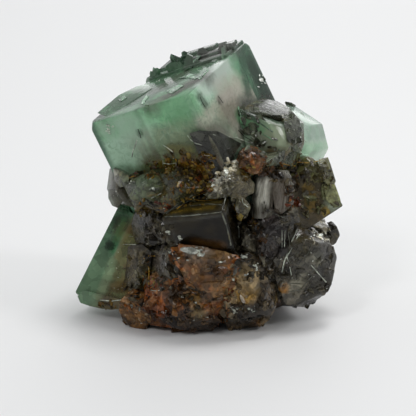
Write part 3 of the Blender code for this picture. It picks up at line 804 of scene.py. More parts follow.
rockLooks = {
    "rustyQuartz": {
        "base": tone(132, 88, 42), "second": tone(66, 46, 26), "stain": tone(156, 84, 24), "stainAmount": 0.45,
        "pale": tone(168, 134, 92), "paleAmount": 0.25, "scale": 0.35, "rough": 0.05, "clear": 0.25, "facets": 0.55,
        "spots": [
            (170, 318, 2.2, tone(46, 42, 40), 0.4), (184, 322, 2.2, tone(50, 45, 40), 0.4),
            (158, 302, 2.2, tone(176, 88, 24)), (150, 290, 1.4, tone(170, 90, 26)), (176, 296, 1.2, tone(84, 66, 48)),
            (207, 291, 1.7, tone(124, 102, 76), 0.6), (222, 255, 1.7, tone(176, 146, 100), 0.8, 0.7),
            (196, 268, 1.6, tone(134, 106, 78), 0.8, 0.6), (183, 277, 1.3, tone(178, 102, 40)),
            (228, 290, 1.2, tone(168, 90, 30)), (205, 324, 2.4, tone(66, 56, 46), 0.6), (196, 300, 1.0, tone(96, 70, 20)),
            # painted highlight: the pale stroke from (192, 252) to (204, 251) lies across the shine of the rusty
            # block's top facet
            (192, 252, 1.3, tone(190, 170, 146), 0.9, 0.8, (204, 251)), (160, 290, 1.4, tone(92, 66, 44), 0.8, 0.7),
            (153, 314, 1.4, tone(104, 54, 24), 0.8, 0.8), (216, 274, 1.3, tone(92, 66, 34), 0.8, 0.8, (200, 278)),
            (222, 289, 1.6, tone(140, 108, 66), 0.8, 0.7), (198, 312, 1.3, tone(150, 138, 104), 0.8, 0.7),
        ],
    },
    "greyQuartz": {
        "base": tone(122, 102, 66), "second": tone(66, 57, 44), "stain": tone(134, 92, 34), "stainAmount": 0.3,
        "pale": tone(176, 156, 118), "paleAmount": 0.28, "scale": 0.35, "rough": 0.04, "clear": 0.3, "facets": 0.55,
        "spots": [
            (246, 282, 2.6, tone(214, 186, 136), 0.8), (240, 318, 3.4, tone(58, 52, 46), 0.5),
            (264, 312, 2.4, tone(66, 58, 48), 0.5), (240, 258, 1.7, tone(110, 112, 122), 0.5),
            (230, 314, 1.6, tone(140, 128, 104), 0.5, 0.5), (268, 290, 1.8, tone(92, 80, 66), 0.6),
            (258, 322, 1.2, tone(130, 84, 34), 0.5, 0.7), (236, 293, 1.5, tone(186, 146, 74), 0.6, 0.8, (246, 294)),
            (256, 268, 1.4, tone(110, 104, 92), 0.7, 0.7),
        ],
    },
    "smokyQuartz": {
        "base": tone(92, 84, 62), "second": tone(44, 39, 30), "stain": tone(90, 68, 28), "stainAmount": 0.3,
        "pale": tone(140, 136, 118), "paleAmount": 0.24, "scale": 0.4, "rough": 0.04, "clear": 0.4, "facets": 0.6,
        "spots": [
            (272, 240, 3.0, tone(62, 56, 58), 0.6, 0.8), (246, 243, 1.8, tone(176, 154, 120), 0.6, 0.85),
            (292, 292, 2.6, tone(134, 128, 112), 0.8, 0.7), (306, 262, 2.6, tone(112, 110, 98), 0.8, 0.7),
            (165, 268, 2.4, tone(82, 72, 66), 0.7), (147, 225, 2.6, tone(92, 82, 46), 0.7, 0.8),
            (284, 288, 0.9, tone(176, 122, 44), 0.5), (300, 245, 1.8, tone(96, 88, 60), 0.7, 0.7),
            (138, 266, 3.0, tone(106, 92, 56), 0.8, 0.7), (146, 272, 1.6, tone(120, 112, 60), 0.8, 0.7, (150, 284)),
            (268, 216, 1.8, tone(96, 84, 84), 0.6, 0.8), (318, 260, 1.3, tone(150, 150, 134), 0.8, 0.5),
            (294, 283, 1.2, tone(168, 164, 140), 0.8, 0.6, (300, 281)), (322, 278, 1.8, tone(66, 64, 56), 0.8, 0.6),
        ],
    },
    "glassyQuartz": {
        "base": tone(158, 112, 60), "second": tone(92, 62, 30), "stain": tone(160, 96, 36), "stainAmount": 0.3,
        "pale": tone(206, 186, 150), "paleAmount": 0.28, "scale": 0.6, "rough": 0.03, "clear": 0.35, "facets": 0.7,
    },
    "creamQuartz": {
        "base": tone(240, 236, 214), "second": tone(180, 168, 136), "stain": tone(170, 136, 76), "stainAmount": 0.2,
        "pale": tone(250, 248, 236), "paleAmount": 0.4, "scale": 0.8, "rough": 0.12, "clear": 0.12, "facets": 1.0,
    },
    "sugaryQuartz": {
        "base": tone(138, 134, 104), "second": tone(76, 68, 44), "stain": tone(132, 94, 34), "stainAmount": 0.25,
        "pale": tone(226, 224, 208), "paleAmount": 0.34, "scale": 0.7, "rough": 0.03, "clear": 0.35, "facets": 1.0,
        "spots": [(244, 184, 2.2, tone(110, 102, 76), 0.6), (222, 175, 1.3, tone(240, 238, 222), 0.8, 0.8),
                  (234, 166, 0.9, tone(244, 244, 230), 0.8, 0.8), (243, 210, 1.0, tone(140, 106, 70), 0.6),
                  (214, 186, 1.0, tone(236, 234, 214), 0.8, 0.7), (244, 172, 1.4, tone(120, 104, 40), 0.8, 0.7)],
    },
    "ledgeQuartz": {
        "base": tone(100, 106, 76), "second": tone(62, 58, 28), "stain": tone(116, 88, 24), "stainAmount": 0.35,
        "pale": tone(150, 160, 132), "paleAmount": 0.25, "scale": 0.5, "rough": 0.04, "clear": 0.4, "facets": 0.7,
        "spots": [
            (146, 186, 2.4, tone(110, 128, 98), 0.8, 0.7), (165, 206, 1.2, tone(160, 72, 24), 0.5, 0.9),
            (196, 180, 2.4, tone(96, 60, 14), 0.8), (182, 188, 1.8, tone(76, 68, 26), 0.8),
            (204, 186, 1.2, tone(112, 46, 12), 0.6), (190, 174, 1.4, tone(124, 94, 22), 0.7),
            (121, 176, 1.6, tone(150, 138, 128), 0.5), (153, 188, 0.8, tone(176, 186, 160), 0.8, 0.8, (156, 184)),
            (143, 208, 1.2, tone(100, 78, 26), 0.8, 0.8, (158, 208)), (134, 194, 1.0, tone(70, 72, 52), 0.8, 0.7, (142, 200)),
            (172, 174, 1.0, tone(124, 98, 34), 0.8, 0.8),
        ],
    },
    "matrixRock": {
        "base": tone(64, 50, 30), "second": tone(30, 26, 20), "stain": tone(100, 62, 20), "stainAmount": 0.4,
        "pale": tone(110, 100, 70), "paleAmount": 0.2, "scale": 0.45, "rough": 0.08, "clear": 0.2, "facets": 0.7,
    },
    "capFluorite": {
        "base": tone(112, 118, 98), "second": tone(70, 72, 56), "stain": tone(112, 98, 54), "stainAmount": 0.3,
        "pale": tone(156, 168, 144), "paleAmount": 0.25, "scale": 0.5, "rough": 0.05, "clear": 0.45, "facets": 0.5,
    },
    "oliveQuartz": {
        "base": tone(118, 112, 74), "second": tone(84, 74, 44), "stain": tone(140, 120, 50), "stainAmount": 0.3,
        "pale": tone(184, 192, 140), "paleAmount": 0.3, "scale": 0.5, "rough": 0.05, "clear": 0.4, "facets": 0.6,
    },
    "rustCrust": {
        "base": tone(122, 94, 26), "second": tone(66, 54, 20), "stain": tone(140, 76, 16), "stainAmount": 0.4,
        "pale": tone(170, 148, 70), "paleAmount": 0.25, "scale": 0.6, "rough": 0.06, "clear": 0.3, "facets": 0.9,
    },
    "redRust": {
        "base": tone(140, 66, 24), "second": tone(84, 38, 18), "stain": tone(160, 92, 30), "stainAmount": 0.3,
        "pale": tone(170, 116, 60), "paleAmount": 0.1, "scale": 0.8, "rough": 0.12, "clear": 0.15, "facets": 0.9,
    },
    # painted highlight: near white for the glint flakes and bright fracture threads, added to their real reflection
    "paleGlintWhite": {
        "base": tone(228, 234, 218), "second": tone(180, 190, 170), "stain": tone(200, 206, 190), "stainAmount": 0.1,
        "pale": tone(248, 250, 240), "paleAmount": 0.3, "scale": 0.8, "rough": 0.03, "clear": 0.25, "gloss": 0.6,
    },
    # pale green of the real green lines, also used as a painted glint on the step plates and one line
    "greenLineAndGlint": {
        "base": tone(150, 206, 160), "second": tone(110, 150, 118), "stain": tone(176, 220, 180), "stainAmount": 0.3,
        "pale": tone(220, 244, 222), "paleAmount": 0.2, "scale": 0.8, "rough": 0.05, "clear": 0.4, "gloss": 0.5,
    },
    "greyEdge": {
        "base": tone(128, 132, 120), "second": tone(80, 82, 72), "stain": tone(120, 112, 80), "stainAmount": 0.3,
        "pale": tone(170, 174, 164), "paleAmount": 0.2, "scale": 0.8, "rough": 0.05, "clear": 0.3,
    },
    "goldEdge": {
        "base": tone(200, 156, 50), "second": tone(150, 108, 30), "stain": tone(180, 120, 30), "stainAmount": 0.2,
        "pale": tone(226, 196, 110), "paleAmount": 0.2, "scale": 0.8, "rough": 0.1, "clear": 0.15,
    },
    "darkFacet": {
        "base": tone(66, 68, 60), "second": tone(52, 54, 46), "stain": tone(72, 70, 54), "stainAmount": 0.2,
        "pale": tone(88, 90, 80), "paleAmount": 0.1, "scale": 0.4, "rough": 0.1, "clear": 0.3, "facets": 0.2,
    },
    "darkEdge": {
        "base": tone(34, 32, 26), "second": tone(22, 20, 17), "stain": tone(40, 34, 22), "stainAmount": 0.2,
        "pale": tone(60, 58, 50), "paleAmount": 0.1, "scale": 0.8, "rough": 0.1, "clear": 0.1,
    },
}


def makeRockMaterial(name):
    look = rockLooks[name]
    material, tree, shader = newMaterial(name)
    vector = objectVector(tree)
    scale = look["scale"]

    def patches(size, amount, soft, warp=0.8):
        values = {"Vector": vector, "Scale": scale * size, "Amount": amount, "Soft": soft, "Warp": warp}
        return placeGroup(tree, mottle, values)["Mask"]

    colour = addMix(tree, patches(1, 0.5, 0.2), look["base"], look["second"])
    colour = addMix(tree, patches(0.7, look["stainAmount"], 0.14, 1.6), colour, look["stain"])
    colour = addMix(tree, patches(1.9, look["paleAmount"], 0.16, 0.5), colour, look["pale"])
    specks = patches(9, 0.22, 0.06)
    colour = addMix(tree, addMath(tree, "MULTIPLY", specks, 0.7), colour, look["second"])
    large = placeGroup(tree, brokenFacets, {"Vector": vector, "Scale": look.get("facets", 0.7), "Warp": 0.5})
    small = placeGroup(tree, brokenFacets, {"Vector": vector, "Scale": look.get("facets", 0.7) * 2.8, "Warp": 0.2})
    colour = paintSpots(tree, vector, colour, look.get("spots", ()))
    chipTone = addNode(tree, "ShaderNodeAttribute", attribute_name="chipTone").outputs["Fac"]
    colour = addMix(tree, addMath(tree, "MAXIMUM", chipTone, 0.0), colour, look["pale"])
    colour = addMix(tree, addMath(tree, "MAXIMUM", addMath(tree, "MULTIPLY", chipTone, -1.0), 0.0), colour, look["second"])
    cracks = placeGroup(tree, hairCracks, {"Vector": vector, "Scale": scale * 2, "Width": 0.03, "Warp": 0.8})["Mask"]
    colour = addMix(tree, addMath(tree, "MULTIPLY", cracks, 0.4), colour, tone(30, 24, 18))
    # painted light and shade: each facet made lighter or darker with its lean
    light = addRange(tree, large["FacetShade"], 0, 1, 0.55, 1.3)
    light = addMath(tree, "MULTIPLY", light, addRange(tree, small["FacetShade"], 0, 1, 0.6, 1.3))
    shade = addNode(tree, "ShaderNodeCombineXYZ", {"X": light, "Y": light, "Z": light}).outputs[0]
    colour = addMix(tree, 1.0, colour, shade, "MULTIPLY")
    tree.links.new(colour, shader.inputs["Base Color"])
    dull = patches(1.3, 0.4, 0.25)
    tree.links.new(addRange(tree, dull, 0, 1, look["rough"], look["rough"] + 0.22), shader.inputs["Roughness"])
    shader.inputs["IOR"].default_value = 1.544
    shader.inputs["Transmission Weight"].default_value = look["clear"]
    shader.inputs["Specular IOR Level"].default_value = look.get("gloss", 0.18)
    shader.inputs["Coat Weight"].default_value = 0.1
    shader.inputs["Coat Roughness"].default_value = 0.04
    relief = placeGroup(tree, fineRelief, {"Vector": vector, "Waves": scale * 1.6, "Grain": 2.5, "Grit": 0.16})["Height"]
    height = addMath(tree, "SUBTRACT", relief, addMath(tree, "MULTIPLY", cracks, 0.2))
    height = addMath(tree, "ADD", height, addMath(tree, "MULTIPLY", large["Height"], 0.5))
    height = addMath(tree, "ADD", height, addMath(tree, "MULTIPLY", small["Height"], 0.18))
    addBump(tree, shader, height, 0.5, 0.4)
    return material


def makeSilkyMaterial():
    material, tree, shader = newMaterial("silkyQuartz")
    place = addNode(tree, "ShaderNodeTexCoord")
    mapping = addNode(tree, "ShaderNodeMapping", {
        "Vector": place.outputs["Object"], "Rotation": turned((-6, 8, 20)), "Scale": (mm, mm, mm),
    }, vector_type="TEXTURE")
    fibres = placeGroup(tree, streaks, {"Vector": mapping.outputs[0], "Across": 3.2, "Along": 0.18, "Amount": 0.5})
    colour = addMix(tree, fibres["Mask"], tone(104, 102, 92), tone(196, 194, 180))
    dark = placeGroup(tree, mottle, {"Vector": mapping.outputs[0], "Scale": 0.6, "Amount": 0.35, "Soft": 0.2})["Mask"]
    colour = addMix(tree, addMath(tree, "MULTIPLY", dark, 0.7), colour, tone(62, 54, 42))
    colour = paintSpots(tree, objectVector(tree), colour, [
        (278, 182, 1.6, tone(84, 72, 58), 0.8, 0.8, (279, 208)), (262, 184, 1.2, tone(236, 234, 218), 1.0, 0.6, (260, 200)),
        (262, 210, 1.2, tone(70, 64, 54), 0.8, 0.6),
    ])
    tree.links.new(colour, shader.inputs["Base Color"])
    tree.links.new(addRange(tree, fibres["Height"], 0.3, 0.7, 0.18, 0.4), shader.inputs["Roughness"])
    shader.inputs["Transmission Weight"].default_value = 0.15
    addBump(tree, shader, fibres["Height"], 0.8, 0.3)
    return material



# Broken stone

def chipShape(seed, thin=1.0, cuts=9):
    # a chip with flat broken faces, about one unit across
    dice = random.Random(seed)
    deselectAll()
    bpy.ops.mesh.primitive_cube_add(size=1.3)
    chip = bpy.context.active_object
    bpy.ops.object.mode_set(mode="EDIT")
    for _ in range(cuts):
        bpy.ops.mesh.select_all(action="SELECT")
        out = Vector((dice.gauss(0, 1), dice.gauss(0, 1), dice.gauss(0, 1))).normalized()
        reach = dice.uniform(0.34, 0.52)
        bpy.ops.mesh.bisect(plane_co=out * reach, plane_no=out, use_fill=True, clear_outer=True)
    bpy.ops.object.mode_set(mode="OBJECT")
    chip.scale = (1, dice.uniform(0.7, 1), thin)
    bpy.ops.object.transform_apply(location=False, rotation=False, scale=True)
    chip.name = "chipShape"
    return chip


def spikeShape(seed, sides=6):
    # a small quartz crystal: a tapered prism with a point, one unit long
    dice = random.Random(seed)
    deselectAll()
    bpy.ops.mesh.primitive_cone_add(vertices=sides, radius1=0.24, radius2=0.19, depth=0.7)
    spike = bpy.context.active_object
    bpy.ops.object.mode_set(mode="EDIT")
    bpy.ops.mesh.select_mode(type="FACE")
    bpy.ops.mesh.select_all(action="DESELECT")
    bpy.ops.object.mode_set(mode="OBJECT")
    for face in spike.data.polygons:
        face.select = face.center.z > 0.34
    bpy.ops.object.mode_set(mode="EDIT")
    bpy.ops.mesh.extrude_region_move(TRANSFORM_OT_translate={"value": (0, 0, 0.25)})
    bpy.ops.transform.resize(value=(0.12, 0.12, 1))
    bpy.ops.object.mode_set(mode="OBJECT")
    for vertex in spike.data.vertices:
        vertex.co += Vector((dice.uniform(-1, 1), dice.uniform(-1, 1), dice.uniform(-1, 1))) * 0.03
    spike.name = "spikeShape"
    return spike


def turnFacing(normal, roll):
    # Z along the normal, turned about it by the roll in degrees
    return normal.to_track_quat("Z", "Y").to_matrix() @ Matrix.Rotation(math.radians(roll), 3, "Z")


def copyShape(shape, place, turn, size, chipTone=0.0):
    copy = shape.copy()
    copy.data = shape.data.copy()
    bpy.context.scene.collection.objects.link(copy)
    scale = Vector(size) if hasattr(size, "__len__") else Vector((size, size, size))
    copy.matrix_world = Matrix.LocRotScale(place, turn, scale * mm)
    attribute = copy.data.attributes.new("chipTone", "FLOAT", "POINT")
    attribute.data.foreach_set("value", [chipTone] * len(copy.data.vertices))
    return copy


def randomTurn(dice):
    return Euler([dice.uniform(0, 2 * math.pi) for _ in range(3)]).to_matrix()


def scatterOn(piece, shapes, count, sizes, seed, sink=0.3, spread=0.35, keep=None):
    # chips over a piece's surface, as many on each face as its area asks
    dice = random.Random(seed)
    piece.data.calc_loop_triangles()
    points = [vertex.co.copy() for vertex in piece.data.vertices]
    triangles = [tuple(t.vertices) for t in piece.data.loop_triangles]
    normals = [t.normal.copy() for t in piece.data.loop_triangles]
    areas = [t.area for t in piece.data.loop_triangles]
    copies = []
    for index in dice.choices(range(len(triangles)), areas, k=count):
        first, second, third = (points[i] for i in triangles[index])
        a, b = sorted((dice.random(), dice.random()))
        place = first * a + second * (b - a) + third * (1 - b)
        size = dice.uniform(*sizes) * dice.uniform(0.6, 1)
        if keep and not keep(place / mm):
            continue
        normal = normals[index]
        lean = Vector((dice.gauss(0, 1), dice.gauss(0, 1), dice.gauss(0, 1))) * spread
        turn = turnFacing((normal + lean).normalized(), dice.uniform(0, 360))
        place = place - normal * sink * size * mm
        place.z = max(place.z, 0.3 * size * mm)
        copies.append(copyShape(dice.choice(shapes), place, turn, size, dice.uniform(-0.8, 0.6)))
    return copies


def scatterSeen(shapes, box, count, sizes, seed, sink=0.25, spread=0.5, stretch=(1, 1, 1)):
    # chips where the photograph shows a broken patch
    dice = random.Random(seed)
    copies = []
    for _ in range(count):
        x = dice.uniform(box[0], box[2])
        y = dice.uniform(box[1], box[3])
        place, normal = seenAt(x, y)
        size = dice.uniform(*sizes)
        lean = Vector((dice.gauss(0, 1), dice.gauss(0, 1), dice.gauss(0, 1))) * spread
        tonePart = dice.uniform(-0.8, 0.6)
        roll = dice.uniform(0, 360)
        if place is None:
            continue
        turn = turnFacing((normal + lean).normalized(), roll)
        place = place - normal * sink * size * mm
        place.z = max(place.z, 0.6 * size * mm)
        copies.append(copyShape(dice.choice(shapes), place, turn, Vector(stretch) * size, tonePart))
    return copies


def scatterGlints(box, count, sizes, seed):
    # small flakes that mirror the key light into the camera
    dice = random.Random(seed)
    copies = []
    for _ in range(count):
        place, normal = seenAt(dice.uniform(box[0], box[2]), dice.uniform(box[1], box[3]))
        size = dice.uniform(*sizes)
        lean = Vector((dice.gauss(0, 1), dice.gauss(0, 1), dice.gauss(0, 1))) * 0.03
        stretch = dice.uniform(0.25, 0.6)
        roll = dice.uniform(0, 360)
        if place is None:
            continue
        turn = turnFacing((glintNormal(place) + lean).normalized(), roll)
        # the chip tone of 0.5 lightens each flake further: painted highlight
        copies.append(copyShape(flake, place + normal * 0.04 * mm, turn, Vector((1, stretch, 1)) * size, 0.5))
    return copies


def viewPoint(x, y, depth):
    # the point at a depth, y in mm, on the line through a point of the photograph
    focal = view["lens"] / view["sensor"] * view["picture"]
    middle = view["picture"] / 2
    direction = Vector(((x - middle) / focal, (middle - y) / focal, -1))
    direction.rotate(camera.matrix_world.to_quaternion())
    start = camera.matrix_world.translation
    return start + direction * ((depth * mm - start.y) / direction.y)


def raisedPoint(x, y, lift):
    place, normal = seenAt(x, y)
    return place + normal * lift * mm


def glintFacet(x, y, wide, high, lean=0.0):
    # a flat facet that mirrors the key light, its width and height in mm, turned by lean degrees
    place, normal = seenAt(x, y)
    out = glintNormal(place)
    right = (Vector((1, 0, 0)) - out * out.x).normalized()
    turn = Matrix((right, out.cross(right), out)).transposed() @ Matrix.Rotation(math.radians(lean), 3, "Z")
    # the chip tone of 0.3 lightens the facet: painted highlight
    return copyShape(flake, place + normal * 0.15 * mm, turn, (wide, high, min(wide, high)), 0.3)


def hullStone(name, front, back=None, shrink=0.6, chipTone=0.0, lift=0.25):
    # a stone with flat faces through points given as photograph x, y and depth in mm, or x and y alone
    points = [viewPoint(*point) if len(point) == 3 else raisedPoint(*point, lift) for point in front]
    middle = sum(points, Vector()) / len(points)
    if back is not None:
        for point in list(points):
            behind = middle + (point - middle) * shrink
            behind.y = back * mm
            points.append(behind)
    points = [Vector((p.x, p.y, max(p.z, 0.02 * mm))) for p in points]
    mesh = bpy.data.meshes.new(name)
    mesh.from_pydata(points, [], [])
    stone = bpy.data.objects.new(name, mesh)
    bpy.context.scene.collection.objects.link(stone)
    activate(stone)
    bpy.ops.object.mode_set(mode="EDIT")
    bpy.ops.mesh.select_all(action="SELECT")
    bpy.ops.mesh.convex_hull()
    bpy.ops.object.mode_set(mode="OBJECT")
    attribute = stone.data.attributes.new("chipTone", "FLOAT", "POINT")
    attribute.data.foreach_set("value", [chipTone] * len(stone.data.vertices))
    return stone


def makeTexture(name, kind, size, **settings):
    texture = bpy.data.textures.new(name, kind)
    texture.noise_scale = size * mm
    for key, value in settings.items():
        setattr(texture, key, value)
    return texture


brokenBlocks = makeTexture("brokenBlocks", "VORONOI", 2.6, color_mode="POSITION", distance_metric="CHEBYCHEV")
smallBlocks = makeTexture("smallBlocks", "VORONOI", 1.1, color_mode="POSITION")
softLumps = makeTexture("softLumps", "CLOUDS", 1.6, noise_depth=3)
fineGrain = makeTexture("fineGrain", "CLOUDS", 0.5, noise_depth=3)


def roughen(piece, voxel=0.2, blocks=0.8, small=0.3, lumps=0.4, grain=0.1, keep=0.45):
    # a broken surface: shifted blocks, low lumps and grain, with facets left by the thinning
    applyModifier(piece, "REMESH", mode="VOXEL", voxel_size=voxel * mm)
    for texture, strength, way in (
        (brokenBlocks, blocks, "RGB_TO_XYZ"), (smallBlocks, small, "RGB_TO_XYZ"),
        (softLumps, lumps, "NORMAL"), (fineGrain, grain, "NORMAL"),
    ):
        if strength:
            applyModifier(
                piece, "DISPLACE", texture=texture, strength=strength * mm, mid_level=0.5, direction=way,
                texture_coords="LOCAL",
            )
    if keep < 1:
        applyModifier(piece, "DECIMATE", ratio=keep)
    for vertex in piece.data.vertices:
        vertex.co.z = max(vertex.co.z, 0.0)
    return piece


def threadOn(name, points, radius, lift=0.0, sides=2):
    # a thin raised line over the surface, through points of the photograph
    curve = bpy.data.curves.new(name, "CURVE")
    curve.dimensions = "3D"
    curve.bevel_depth = radius * mm
    curve.bevel_resolution = sides
    curve.use_fill_caps = True
    spline = curve.splines.new("POLY")
    places = []
    for x, y, *depth in points:
        if depth:
            places.append(viewPoint(x, y, depth[0]))
        else:
            place, normal = seenAt(x, y)
            places.append(place + normal * lift * mm)
    spline.points.add(len(places) - 1)
    for point, place in zip(spline.points, places):
        point.co = (*place, 1)
    thread = bpy.data.objects.new(name, curve)
    bpy.context.scene.collection.objects.link(thread)
    activate(thread)
    bpy.ops.object.convert(target="MESH")
    return bpy.context.active_object


def plateOn(name, outline, thick=0.12, lift=0.05):
    # a thin plate lying on the surface, its outline in photograph points
    top = []
    low = []
    for x, y, *depth in outline:
        if depth:
            place, normal = viewPoint(x, y, depth[0]), Vector((0, -0.96, 0.28))
        else:
            place, normal = seenAt(x, y)
        top.append(place + normal * (lift + thick / 2) * mm)
        low.append(place + normal * (lift - thick / 2) * mm)
    count = len(top)
    faces = [tuple(range(count)), tuple(range(2 * count - 1, count - 1, -1))]
    faces += [(i, i + count, (i + 1) % count + count, (i + 1) % count) for i in range(count)]
    mesh = bpy.data.meshes.new(name)
    mesh.from_pydata(top + low, [], faces)
    plate = bpy.data.objects.new(name, mesh)
    bpy.context.scene.collection.objects.link(plate)
    activate(plate)
    bpy.ops.object.mode_set(mode="EDIT")
    bpy.ops.mesh.select_all(action="SELECT")
    bpy.ops.mesh.normals_make_consistent(inside=False)
    bpy.ops.object.mode_set(mode="OBJECT")
    return plate


def flakeShape(seed):
    # a thin six-sided flake, one unit across
    dice = random.Random(seed)
    deselectAll()
    bpy.ops.mesh.primitive_cylinder_add(vertices=6, radius=0.5, depth=0.16)
    piece = bpy.context.active_object
    for vertex in piece.data.vertices:
        vertex.co.x *= dice.uniform(0.8, 1.1)
    piece.name = "flakeShape"
    return piece


print("chips and small crystals")
flake = flakeShape(31)
chips = [chipShape(seed, thin) for seed, thin in ((1, 1), (2, 0.8), (3, 0.6), (4, 0.9), (5, 0.45), (6, 0.7), (7, 0.35))]
slivers = [chipShape(seed, thin, 8) for seed, thin in ((11, 0.22), (12, 0.3), (13, 0.18))]
spikes = [spikeShape(seed) for seed in (21, 22, 23)]

print("the pair of green cubes")
pair = cleanCopy("green_cube_pair", "greenCubePair")
pairAxes = crystalAxes(pair)
sideAxes = crystalAxes(pair, [pairAxes["turn"].col[i] for i in range(3)])
finishPiece(pair, makeGreenPairMaterial(pairAxes, sideAxes), "green_cube_pair")

print("other crystals")
clearNodes = {
    "left_green_cube": ("leftGreenCube", "slabFluorite", "green_fluorite"),
    "mint_crystal": ("mintCrystal", "mintFluorite", "mint_fluorite"),
    "olive_cube": ("oliveCube", "oliveFluorite", "olive_fluorite"),
    "dark_cube": ("darkCube", "smokyFluorite", "smoky_fluorite"),
    "small_grey_crystal": ("smallGreyCrystal", "greyFluorite", "grey_fluorite"),
    "back_green_cube": ("backGreenCube", "backFluorite", "green_fluorite"),
    "back_left_cube": ("backLeftCube", "greyFluorite", "grey_fluorite"),
    "back_olive_cube": ("backOliveCube", "oliveFluorite", "olive_fluorite"),
}
clearPieces = {}
for node, (name, look, slot) in clearNodes.items():
    piece = cleanCopy(node, name)
    clearPieces[node] = finishPiece(piece, makeClearMaterial(look, crystalAxes(piece)), node)

print("quartz and rock")
rockMaterials = {name: makeRockMaterial(name) for name in rockLooks}
rockMaterials["silkyQuartz"] = makeSilkyMaterial()

